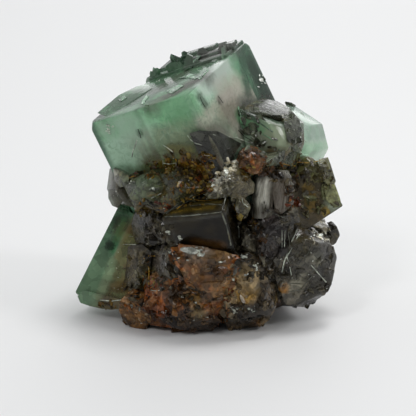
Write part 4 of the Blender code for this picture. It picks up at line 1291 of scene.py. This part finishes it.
stones = {
    # broken blocks seen in the photograph: corners as x, y and depth in mm, how deep the back lies, and its tone
    "rusty_quartz_block": [
        ([(170, 247, -12.6), (190, 244, -12.4), (207, 248, -12.2), (231, 248, -12.6), (234, 257, -14), (226, 268, -15.2),
          (197, 281, -16), (187, 285, -15.4), (177, 272, -14.8), (180, 260, -15.8), (213, 259, -16.4)], -8, 0.1),
        ([(187, 280, -15.6), (230, 279, -15), (234, 291, -14.6), (213, 315, -13.2), (193, 308, -14.2),
          (200, 283, -16.6), (217, 282, -16.4), (210, 299, -15.9)], -8, 0.0),
        ([(178, 270, -14.6), (190, 286, -15.6), (196, 306, -14.4), (185, 305, -13.6), (178, 290, -13.8)], -8, -0.2),
    ],
    "brown_quartz_foot": [
        ([(148, 287, -11), (168, 284, -12.6), (186, 286, -14.6), (191, 300, -15.6), (180, 308, -15.4), (160, 312, -13.6),
          (146, 310, -11.6), (168, 296, -14.6)], -5, 0.15),
        ([(146, 306, -11.4), (163, 304, -13.4), (172, 318, -14.2), (160, 327, -12.2), (146, 324, -11)], -5, -0.1),
        ([(161, 304, -13.6), (184, 301, -15.6), (198, 312, -15.4), (190, 327, -13.6), (168, 328, -12.2),
          (176, 314, -15.9)], -5, -0.75),
        ([(190, 307, -15), (212, 311, -14.4), (222, 322, -13), (208, 331, -12.2), (186, 330, -12.4)], -5, -0.3),
    ],
    "grey_quartz_lump": [
        ([(231, 256, -11.5), (246, 251, -11), (262, 258, -11.6), (266, 270, -12.2), (252, 276, -14), (234, 271, -14)],
         -6, -0.4),
        ([(232, 270, -13.6), (252, 268, -14.2), (268, 278, -13), (272, 292, -12.4), (262, 305, -13.4), (240, 307, -13.8),
          (226, 294, -13.6), (250, 286, -15)], -5, 0.3),
        ([(218, 308, -13), (240, 305, -14.2), (262, 304, -13.6), (270, 313, -12), (258, 327, -11), (228, 331, -11.6)],
         -5, -0.7),
        ([(222, 292, -14.2), (236, 290, -14.4), (238, 302, -14.6), (226, 308, -14), (216, 304, -14)], -8, 0.5),
    ],
    "dark_prism": [
        ([(260, 222, -10), (272, 214, -9.6), (286, 220, -9.6), (288, 240, -10), (283, 262, -10.4), (276, 283, -10.4),
          (266, 280, -11.6), (260, 255, -12), (263, 236, -12)], -4, -0.3),
        ([(238, 252, -9.6), (239, 234, -9), (243, 222, -9), (256, 238, -10.2), (256, 253, -11), (246, 247, -12)],
         -5, 0.3),
        ([(255, 250, -10.6), (266, 247, -11), (273, 262, -12), (264, 280, -12), (256, 272, -12)], -5, -0.5),
        ([(268, 206, -9.4), (284, 202, -9), (298, 208, -8), (300, 222, -8), (284, 228, -10), (270, 222, -10.6)],
         -3, -0.1),
    ],
    "smoky_fan_crystal": [
        ([(287, 231, -8.4), (300, 226, -7), (312, 231, -6.4), (325, 243, -6.2), (333, 258, -6.2), (335, 272, -7),
          (329, 283, -7.4), (316, 294, -7), (298, 305, -6.6), (281, 302, -7.6), (271, 288, -9.4), (277, 266, -10.8),
          (296, 262, -11.6), (312, 254, -10.6), (318, 276, -10.2), (306, 240, -9.4)], -2, 0.0),
        ([(280, 296, -9), (298, 292, -8.6), (304, 300, -7.4), (296, 307, -6.6), (282, 306, -7.4)], -4, -0.4),
    ],
    "glassy_quartz_tooth": [
        ([(123, 300, -9), (135, 296, -9.6), (147, 300, -11), (148, 315, -11.6), (143, 326, -11), (131, 322, -10.4),
          (124, 312, -9.6), (138, 303, -12)], -5, 0.1),
        ([(140, 301, -11), (152, 299, -12), (158, 312, -12.4), (152, 325, -11.4), (144, 322, -11.6)], -5, -0.2),
    ],
    "ledge_crystal": [
        ([(124, 187, -6), (136, 177, -6), (151, 171, -6.6), (164, 174, -7.4), (169, 186, -9.8), (158, 197, -10),
          (142, 206, -9.6), (130, 199, -8.6), (146, 187, -10.8)], -3, 0.0),
        ([(160, 175, -7.6), (178, 168, -8), (196, 174, -9), (209, 187, -9.8), (199, 195, -11), (180, 206, -11.4),
          (166, 209, -11), (160, 199, -10.6), (178, 188, -12.4)], -3, -0.2),
        ([(136, 202, -9), (160, 196, -10.4), (178, 204, -11.8), (164, 214, -10.6), (146, 211, -8.6)], -4, -0.3),
        ([(113, 168, -2), (121, 170, -3.4), (130, 177, -4.8), (127, 186, -5.4), (120, 188, -3.6), (114, 180, -2)],
         1, 0.4),
    ],
    "sugary_ridge": [
        ([(235, 161, -9.6), (240, 166, -10.6), (255, 184, -11), (254, 193, -11), (240, 200, -12), (222, 194, -12.6),
          (211, 190, -11.6), (224, 172, -11.4), (236, 184, -13)], -6, 0.0),
        ([(236, 197, -11.6), (244, 196, -12), (251, 207, -11.4), (247, 218, -11), (240, 220, -11.6), (235, 209, -12)],
         -7, -0.1),
    ],
    "rust_knob": [
        ([(236, 160, -9.6), (240, 150, -9.4), (250, 146, -9.4), (262, 151, -9.2), (266, 162, -9.4), (258, 172, -10.4),
          (244, 168, -11), (250, 158, -11.8)], -6, 0.0),
        ([(254, 160, -9), (268, 158, -8.4), (276, 168, -8.6), (268, 178, -9.4), (258, 176, -10)], -5, -0.5),
    ],
    "silky_blade_left": [
        ([(255, 194, -9.4), (259, 184, -9.6), (266, 175, -9.6), (270, 178, -9.8), (270.5, 206, -10.4), (265, 214, -10.6),
          (257, 206, -10.4), (264, 192, -11.2)], -7, 0.2),
    ],
    "silky_blade_right": [
        ([(272.5, 178, -9.6), (279, 175, -9.2), (285, 184, -9), (288, 200, -9), (282, 212, -10), (275, 208, -10.4),
          (272, 194, -10.4), (279, 192, -10.8)], -6.5, -0.1),
    ],
    "cream_quartz": [
        ([(307, 231, -1.2), (314, 225, -1), (324, 230, -0.6), (331, 240, -1), (326, 248, -1.8), (316, 244, -2.2),
          (318, 235, -2.4)], 1.5, 0.2),
    ],
    "dark_chip": [
        ([(326, 230, -0.6), (338, 228, 0), (339, 236, 0), (334, 245, -0.4), (328, 247, -1), (327, 238, -1.2)],
         1.5, -0.3),
    ],
}
smokyFacets = {
    # smoky quartz that fills the hollow between the left green cube and the dark one
    "look": "smokyQuartz", "slot": "smoky_quartz",
    "blocks": [
        ([(137, 205, -3), (150, 206, -6), (164, 215, -9), (172, 230, -11), (166, 243, -11), (150, 247, -7),
          (135, 243, -4.6), (131, 224, -3.4), (153, 226, -9.4)], 2, 0.0),
        ([(152, 251, -6.6), (164, 246, -9.6), (178, 248, -12), (180, 272, -13), (186, 287, -13.4), (168, 293, -12),
          (152, 287, -9), (149, 266, -7.4), (168, 268, -13)], -2, 0.1),
        ([(128, 246, -4.4), (142, 244, -6), (152, 252, -8), (150, 284, -9), (138, 292, -8.6), (124, 284, -6),
          (140, 268, -8.6)], -1, 0.0),
        ([(247, 222, -6.4), (268, 221, -7.4), (264, 238, -8), (252, 236, -7)], -2, -0.8),
    ],
    "chips": 26, "chipSize": (0.6, 1.8), "seed": 61,
}


def makeBlocks(name, entries, lift=0.25):
    blocks = []
    for points, back, tonePart in entries:
        stone = hullStone(name + "Block", points, back, 0.6, tonePart, lift)
        applyModifier(stone, "BEVEL", width=0.12 * mm, segments=2, limit_method="ANGLE", angle_limit=math.radians(15))
        blocks.append(stone)
    return blocks


def makeStones(node, name, scatterCount, scatterSizes, seed, shape):
    # the CAD lump broken up, with the blocks that the photograph shows and small chips on it
    body = roughen(cleanCopy(node, name), **shape)
    parts = [body] + makeBlocks(name, stones.get(node, ()))
    parts += scatterOn(body, chips + slivers, scatterCount, scatterSizes, seed)
    return joinPieces(parts, name)


plain = {"blocks": 0.25, "small": 0.0, "lumps": 0.15, "grain": 0.03}
fine = {"voxel": 0.13, "blocks": 0.2, "small": 0.0, "lumps": 0.15, "grain": 0.03}
rockNodes = {
    # node: name, look, slot, chips, their sizes in mm, seed, shape
    "rusty_quartz_block": ("rustyQuartzBlock", "rustyQuartz", "rusty_quartz", 26, (0.6, 1.8), 31, plain),
    "smoky_fan_crystal": ("smokyFanCrystal", "smokyQuartz", "smoky_quartz", 40, (0.6, 2.2), 32, plain),
    "cream_quartz": ("creamQuartz", "creamQuartz", "cream_quartz", 24, (0.3, 0.9), 33, fine),
    "dark_chip": ("darkChip", "smokyQuartz", "smoky_quartz", 4, (0.3, 0.6), 34, fine),
    "silky_blade_left": ("silkyBladeLeft", "silkyQuartz", "silky_quartz", 0, (0.5, 1), 35, fine),
    "silky_blade_right": ("silkyBladeRight", "silkyQuartz", "silky_quartz", 0, (0.5, 1), 36, fine),
    "dark_prism": ("darkPrism", "smokyQuartz", "smoky_quartz", 70, (0.6, 2.4), 37, plain),
    "glassy_quartz_tooth": ("glassyQuartzTooth", "glassyQuartz", "glassy_quartz", 26, (0.5, 1.8), 38, fine),
    "sugary_ridge": ("sugaryRidge", "sugaryQuartz", "sugary_quartz", 160, (0.35, 1.1), 39, fine),
    "rust_knob": ("rustKnob", "rustyQuartz", "rusty_quartz", 40, (0.5, 1.8), 40, fine),
    "grey_quartz_lump": ("greyQuartzLump", "greyQuartz", "grey_quartz", 70, (0.7, 2.4), 41, plain),
    "brown_quartz_foot": ("brownQuartzFoot", "rustyQuartz", "rusty_quartz", 90, (0.8, 3.0), 42, plain),
    "back_quartz_lump": ("backQuartzLump", "greyQuartz", "grey_quartz", 130, (0.8, 3.2), 43, plain),
    "matrix_rock": ("matrixRock", "matrixRock", "matrix_rock", 320, (0.8, 3.6), 44, plain),
    "ledge_crystal": ("ledgeCrystal", "ledgeQuartz", "grey_fluorite", 110, (0.8, 3.2), 45, fine),
}
for node, (name, look, slot, count, sizes, seed, shape) in rockNodes.items():
    piece = makeStones(node, name, count, sizes, seed, shape)
    finishPiece(piece, rockMaterials[look], node, 22)

print("smoky facets on the left")
blocks = makeBlocks("smokyFacets", smokyFacets["blocks"])
parts = list(blocks)
for number, block in enumerate(blocks):
    parts += scatterOn(block, chips + slivers, smokyFacets["chips"], smokyFacets["chipSize"], smokyFacets["seed"] + number)
piece = joinPieces(parts, "smokyFacets")
finishPiece(piece, rockMaterials[smokyFacets["look"]], None, 22)

print("added growths on the crystals")
growths = {
    # name: look, slot, lift in mm, and blocks as above
    "greyFacet": ("darkFacet", "green_fluorite", 0.9, [
        ([(192, 131), (201, 128), (214, 133), (237, 145), (226, 160), (218, 175), (206, 160), (200, 148)], -4, -0.1),
    ]),
    "sideCap": ("capFluorite", "green_fluorite", 0.2, [
        ([(240, 107, -1), (252, 101, 2.4), (264, 98, 3), (277, 101, 3), (290, 108, 0.6), (300, 120, -1), (301, 130, -2),
          (286, 119, -3), (262, 112, -2.8), (246, 112, -3)], 3, 0.0),
        ([(284, 112, -1.4), (296, 116, -1), (303, 130, -1.8), (302, 146, -3), (294, 152, -5.4), (287, 140, -6.4),
          (284, 124, -4.6)], 1, -0.3),
        ([(262, 152), (284, 150), (297, 152), (292, 166), (272, 169), (262, 164)], -3, 0.2),
    ]),
    "leftSwell": ("greenFluorite", "green_fluorite", 0.2, [
        ([(97, 113, 1), (113, 101.5, 3.4), (118, 95.5, 5), (126, 91.5, 6.2), (136, 86.5, 7.4), (148, 83.5, 8.4),
          (106, 117, -1.6), (128, 104, 0.2), (142, 95, 1.8), (152, 88, 3.4)], None, 0.0),
    ]),
    "oliveSwell": ("oliveQuartz", "olive_fluorite", 0.2, [
        ([(319, 159, 0), (328, 157, 0.4), (331, 165, 0), (336, 181, -1), (333, 190, -2), (320, 178, -3), (318, 168, -2.8)],
         2, 0.2),
        ([(324, 186, -2.4), (335, 184, -1.6), (340, 198, -1.8), (342, 206, -2), (334, 208, -3), (326, 200, -3.2)], 1, 0.5),
    ]),
    "slabFoot": ("leftGreenCube", "green_fluorite", 0.2, [
        ([(77, 296, -4.6), (80, 303, -4.8), (90, 306.5, -5.4), (101, 309, -6.2), (112, 310, -7), (122, 309, -8),
          (122, 300, -8), (100, 296, -6.6), (84, 290, -5)], -3, 0.0),
    ]),
    "greyFoot": ("smallGreyCrystal", "grey_fluorite", 0.2, [
        ([(108, 190, 0), (108, 198, -0.4), (112, 206, -1), (118, 208.5, -2), (124, 200, -3), (118, 188, -3.2)], 2, 0.0),
    ]),
}
rockMaterials["greenFluorite"] = pair.data.materials[0]
for piece in clearPieces.values():
    rockMaterials[piece.name] = piece.data.materials[0]
for name, (look, slot, lift, entries) in growths.items():
    finishPiece(joinPieces(makeBlocks(name, entries, lift), name), rockMaterials[look], None, 20)

surface["tree"] = surfaceTree(finished)

print("crusts and broken patches")
patches = {
    # boxes in the photograph with a count of chips, their sizes in mm
    "goldCrust": {
        "look": "rustCrust", "slot": "matrix_rock", "seed": 71,
        "boxes": [((165, 152, 214, 190), 150, (0.35, 1.2)), ((145, 160, 172, 178), 60, (0.3, 0.9)),
                  ((180, 188, 208, 208), 26, (0.3, 0.9)), ((137, 200, 150, 216), 16, (0.4, 1.0)),
                  ((262, 160, 300, 170), 26, (0.3, 1.0)), ((98, 302, 124, 309), 18, (0.4, 0.9)),
                  ((148, 262, 155, 290), 14, (0.3, 0.9)), ((236, 214, 256, 224), 12, (0.3, 0.9)),
                  ((236, 164, 254, 180), 24, (0.3, 0.9)), ((120, 266, 146, 288), 16, (0.2, 0.5))],
    },
    "redCrust": {
        "look": "redRust", "slot": "rusty_quartz", "seed": 72,
        "boxes": [((157, 200, 172, 212), 16, (0.3, 1.0)), ((286, 194, 302, 210), 20, (0.3, 0.9)),
                  ((134, 171, 140, 177), 4, (0.3, 0.6)), ((199, 176, 212, 192), 20, (0.3, 1.1)),
                  ((222, 286, 234, 302), 14, (0.3, 0.9)), ((146, 286, 166, 300), 20, (0.3, 1.0))],
    },
    # dark matrix chips; in the hollows at (246-268, 222-240) and (126-150, 294-306) they also stand for shade: painted
    # shade
    "darkCrustAndHollowShade": {
        "look": "matrixRock", "slot": "matrix_rock", "seed": 74,
        "boxes": [((168, 158, 212, 186), 60, (0.3, 1.0)), ((268, 166, 296, 184), 30, (0.4, 1.2)),
                  ((284, 176, 304, 194), 30, (0.4, 1.2)), ((246, 222, 268, 240), 20, (0.4, 1.2)),
                  ((158, 240, 170, 252), 10, (0.4, 1.0)), ((180, 286, 200, 312), 30, (0.4, 1.2)),
                  ((126, 294, 150, 306), 20, (0.4, 1.2)), ((256, 252, 268, 276), 20, (0.4, 1.2))],
    },
    "paleSugar": {
        "look": "creamQuartz", "slot": "sugary_quartz", "seed": 73,
        "boxes": [((208, 180, 222, 192), 40, (0.25, 0.7)), ((216, 172, 230, 182), 50, (0.25, 0.7)),
                  ((225, 161, 236, 173), 50, (0.25, 0.8)), ((308, 228, 330, 242), 20, (0.3, 0.9))],
    },
    "topPlates": {
        "look": "greenFluorite", "slot": "green_fluorite", "seed": 78, "spread": 0.08, "stretch": (1.2, 1, 0.35),
        "boxes": [((150, 62, 172, 90), 14, (0.8, 2.6)), ((168, 56, 200, 82), 20, (0.8, 2.8)),
                  ((196, 46, 240, 62), 16, (0.8, 2.6)), ((112, 92, 150, 112), 14, (0.5, 1.8))],
    },
    "sideChips": {
        "look": "capFluorite", "slot": "green_fluorite", "seed": 79,
        "boxes": [((240, 104, 300, 160), 60, (0.4, 1.8)), ((256, 60, 272, 98), 14, (0.3, 1.2))],
    },
    "oliveChips": {
        "look": "oliveQuartz", "slot": "olive_fluorite", "seed": 80,
        "boxes": [((304, 164, 336, 216), 60, (0.4, 1.8)), ((296, 160, 326, 172), 20, (0.3, 1.0))],
    },
    "smokyShards": {
        "look": "smokyQuartz", "slot": "smoky_quartz", "seed": 75,
        "boxes": [((140, 206, 172, 246), 50, (0.4, 1.6)), ((150, 246, 178, 290), 50, (0.4, 1.6)),
                  ((125, 250, 150, 290), 30, (0.3, 1.2)), ((236, 222, 286, 280), 80, (0.4, 1.6)),
                  ((278, 232, 330, 300), 60, (0.4, 1.6)), ((258, 200, 292, 228), 40, (0.4, 1.4))],
    },
    "brownShards": {
        "look": "rustyQuartz", "slot": "rusty_quartz", "seed": 76,
        "boxes": [((172, 256, 232, 300), 60, (0.4, 1.5)), ((146, 286, 190, 326), 60, (0.4, 1.4)),
                  ((190, 300, 230, 328), 50, (0.4, 1.5)), ((124, 300, 150, 322), 20, (0.3, 1.2))],
    },
    "greyShards": {
        "look": "greyQuartz", "slot": "grey_quartz", "seed": 77,
        "boxes": [((226, 264, 272, 306), 60, (0.4, 1.6)), ((220, 304, 268, 328), 60, (0.4, 1.6))],
    },
}
for name, patch in patches.items():
    parts = []
    for number, (box, count, sizes) in enumerate(patch["boxes"]):
        parts += scatterSeen(
            chips + slivers, box, count, sizes, patch["seed"] * 10 + number, 0.25, patch.get("spread", 0.5),
            patch.get("stretch", (1, 1, 1)),
        )
    finishPiece(joinPieces(parts, name), rockMaterials[patch["look"]], None, 0)

print("white glints")
glintBoxes = [
    ((104, 124, 114, 134), 6, (0.3, 0.7)), ((127, 180, 137, 185), 6, (0.2, 0.5)), ((178, 235, 182, 241), 4, (0.3, 0.6)),
    ((177, 242, 180, 245), 2, (0.2, 0.4)), ((166, 252, 173, 256), 4, (0.3, 0.6)), ((254, 74, 266, 88), 8, (0.3, 0.8)),
    ((179, 247, 206, 258), 8, (0.3, 0.8)), ((240, 254, 249, 259), 6, (0.3, 0.8)), ((252, 262, 258, 272), 6, (0.3, 0.7)),
    ((232, 277, 236, 281), 3, (0.3, 0.6)), ((243, 272, 249, 278), 4, (0.3, 0.7)), ((237, 287, 240, 292), 2, (0.2, 0.5)),
    ((230, 303, 238, 314), 5, (0.3, 0.7)), ((208, 181, 220, 191), 8, (0.2, 0.5)), ((222, 166, 236, 180), 12, (0.2, 0.6)),
    ((113, 190, 120, 197), 3, (0.2, 0.4)), ((105, 240, 130, 290), 8, (0.15, 0.3)), ((155, 78, 160, 83), 2, (0.2, 0.4)),
    ((160, 227, 170, 235), 8, (0.3, 0.7)), ((230, 305, 256, 318), 4, (0.3, 0.8)), ((180, 310, 225, 326), 5, (0.2, 0.5)),
    ((280, 240, 330, 300), 8, (0.15, 0.4)), ((140, 300, 170, 325), 3, (0.2, 0.4)), ((297, 136, 301, 149), 4, (0.2, 0.4)),
    ((244, 224, 252, 240), 4, (0.2, 0.5)), ((160, 190, 205, 210), 6, (0.15, 0.3)), ((150, 155, 210, 185), 10, (0.15, 0.35)),
    ((300, 170, 334, 210), 6, (0.15, 0.3)), ((308, 228, 328, 242), 6, (0.2, 0.5)),
]
parts = []
for number, (box, count, sizes) in enumerate(glintBoxes):
    parts += scatterGlints(box, count, sizes, 900 + number)
facets = [
    # photograph x and y, width and height in mm, turn in degrees
    (191, 251, 3.6, 1.3, -6), (199, 254, 1.6, 0.8, -20), (244, 257, 1.3, 0.5, -20), (255, 267, 0.7, 1.3, 20),
    (188, 260, 0.5, 0.3, 0), (220, 262, 0.8, 0.3, 10), (246, 275, 0.8, 0.4, 30), (168, 231, 1.0, 0.5, 30),
    (180, 238, 0.5, 0.8, 10), (260, 80, 1.2, 0.6, -50), (109, 129, 0.5, 1.1, 20), (234, 309, 0.5, 1.2, 30),
    (320, 236, 1.2, 0.6, 20), (153, 188, 0.5, 0.9, 30), (214, 186, 0.8, 0.5, 40), (226, 172, 0.6, 1.2, 20),
    (206, 318, 0.8, 0.4, 0), (196, 301, 0.4, 0.9, 0), (132, 305, 0.4, 1.2, 5), (140, 308, 0.3, 1.3, -5),
]
parts += [glintFacet(*facet) for facet in facets]
finishPiece(joinPieces(parts, "whiteGlints"), rockMaterials["paleGlintWhite"], None, 0)

print("lines and thin plates")
lineSets = {
    # name: look, slot and lines, each with its radius in mm and points of the photograph
    # pale threads on fractures and streaks; their white is a painted glint
    "paleGlintLines": ("paleGlintWhite", "green_fluorite", [
        (0.07, [(187.5, 135), (190, 139), (195, 143), (202, 145)]), (0.06, [(163, 145), (168, 148), (173, 152)]),
        (0.06, [(163, 163), (169, 164), (176, 163)]), (0.05, [(163, 165), (163, 160)]), (0.05, [(176, 163), (176, 167)]),
        (0.08, [(137, 140), (135, 146), (133, 151), (132, 157)]),
        (0.06, [(198, 130), (215, 135), (237, 138), (250, 143), (262, 147)]),
        (0.06, [(240, 128), (248, 134), (256, 140)]), (0.06, [(247, 130), (258, 133), (262, 140)]),
        (0.06, [(146, 201), (154, 197), (162, 193)]), (0.05, [(150, 290), (156, 291), (161, 290)]),
        (0.08, [(292, 112), (300, 120), (308, 131)]), (0.07, [(301, 112), (312, 128)]), (0.07, [(294, 130), (306, 142)]),
        (0.1, [(297, 230), (292, 241), (287, 254), (284, 262), (282, 272)]),
        (0.06, [(300, 232), (296, 240), (292, 248), (286, 258)]), (0.05, [(282, 230), (282, 248)]),
        (0.05, [(285, 230), (284.5, 247)]), (0.06, [(287, 257), (290, 268), (292, 278)]),
        (0.08, [(311, 265), (317, 272), (326, 282)]), (0.08, [(100, 300), (112, 301), (122, 300)]),
        (0.05, [(230, 306), (242, 309), (255, 306)]), (0.05, [(233, 312), (246, 314), (255, 311)]),
        (0.06, [(238, 226), (239, 230), (239, 238)]), (0.05, [(134, 190), (144, 184), (152, 180)]),
        (0.05, [(138, 196), (150, 189), (160, 184)]), (0.05, [(142, 183), (150, 179), (158, 177)]),
        (0.05, [(242, 199), (243, 203), (248, 207)]),
        (0.05, [(129, 236.5), (133, 236.5)]), (0.05, [(123, 244.5), (136, 244.5)]),
    ]),
    "greyLines": ("greyEdge", "smoky_fluorite", [
        (0.13, [(222, 213), (227, 227), (231, 245)]), (0.1, [(222, 212), (205, 214), (185, 216), (165, 217)]),
        (0.1, [(222, 211), (226, 196)]), (0.08, [(166, 214), (178, 204), (193, 195)]), (0.05, [(172, 210), (188, 201), (206, 197)]),
        (0.06, [(190, 206), (208, 204), (222, 205)]), (0.06, [(288, 232), (290, 246), (284, 262)]),
        (0.05, [(304, 236), (298, 252), (290, 270)]), (0.05, [(312, 244), (304, 262), (296, 280)]),
        (0.06, [(320, 262), (312, 276), (300, 290)]), (0.05, [(276, 286), (288, 283), (302, 284)]),
        (0.05, [(286, 292), (298, 290), (312, 288)]), (0.06, [(262, 204), (270, 212), (284, 218)]),
    ]),
    "goldLines": ("goldEdge", "matrix_rock", [
        (0.06, [(129, 178), (134, 176)]), (0.07, [(177, 209), (185, 203), (193, 197), (206, 192)]),
        (0.06, [(148, 256), (155, 256)]), (0.08, [(248, 222), (255, 223.5), (261, 223)]),
        (0.06, [(280, 163), (288, 165), (295, 166)]), (0.08, [(144, 258), (149, 268), (149, 286)]),
        (0.05, [(201, 178), (209, 181)]), (0.05, [(175, 158), (180, 168), (178, 176)]),
        (0.05, [(190, 160), (198, 166), (204, 176)]), (0.07, [(297, 162), (308, 163), (320, 161)]),
        (0.05, [(234, 204), (236, 210), (238, 217)]), (0.05, [(188, 199), (205, 201), (218, 199)]),
    ]),
    "darkLines": ("darkEdge", "matrix_rock", [
        (0.1, [(180, 180), (183, 182), (186, 184)]), (0.12, [(147, 200), (153, 205), (158, 206)]),
        (0.05, [(200, 97), (202, 102), (205, 107)]), (0.04, [(218, 96), (221, 100), (223, 103)]),
        (0.05, [(238, 130), (244, 136), (252, 141)]), (0.06, [(138, 129), (140, 134), (141, 138)]),
        (0.08, [(292, 258), (289, 266), (288, 278)]), (0.1, [(163, 243), (167, 246), (167, 250)]),
    ]),
    "greenLines": ("greenLineAndGlint", "green_fluorite", [
        (0.12, [(238, 107), (240, 113), (243, 120)]), (0.12, [(255, 120), (263, 125), (273, 132)]),
        (0.08, [(262, 134), (270, 138), (280, 150)]), (0.08, [(188, 70), (194, 62), (200, 55)]),
    # the line from (188, 70) to (200, 55) is a painted glint
    ]),
}
for name, (look, slot, lines) in lineSets.items():
    parts = [threadOn(name, points, radius, radius * 0.3) for radius, points in lines]
    finishPiece(joinPieces(parts, name), rockMaterials[look], None, 60)
plates = {
    # plates on the top's growth steps; their pale green stands for glints on the step edges: painted highlight
    "paleGlintPlates": ("greenLineAndGlint", "green_fluorite", 0.14, [
        [(185, 70), (191, 69), (201, 56), (197, 55)], [(178, 79), (190, 74), (197, 77), (196, 80), (188, 78)],
        [(196, 78), (207, 68), (209, 70), (200, 80)], [(141, 104), (143, 105), (149, 96), (147, 95)],
        [(118, 100), (124, 96), (127, 98), (121, 102)], [(166, 92), (178, 85), (184, 86), (172, 94)],
    ]),
}
for name, (look, slot, thick, outlines) in plates.items():
    parts = [plateOn(name, outline, thick) for outline in outlines]
    finishPiece(joinPieces(parts, name), rockMaterials[look], None, 0)

for shape in chips + slivers + spikes + [flake]:
    removePiece(shape)
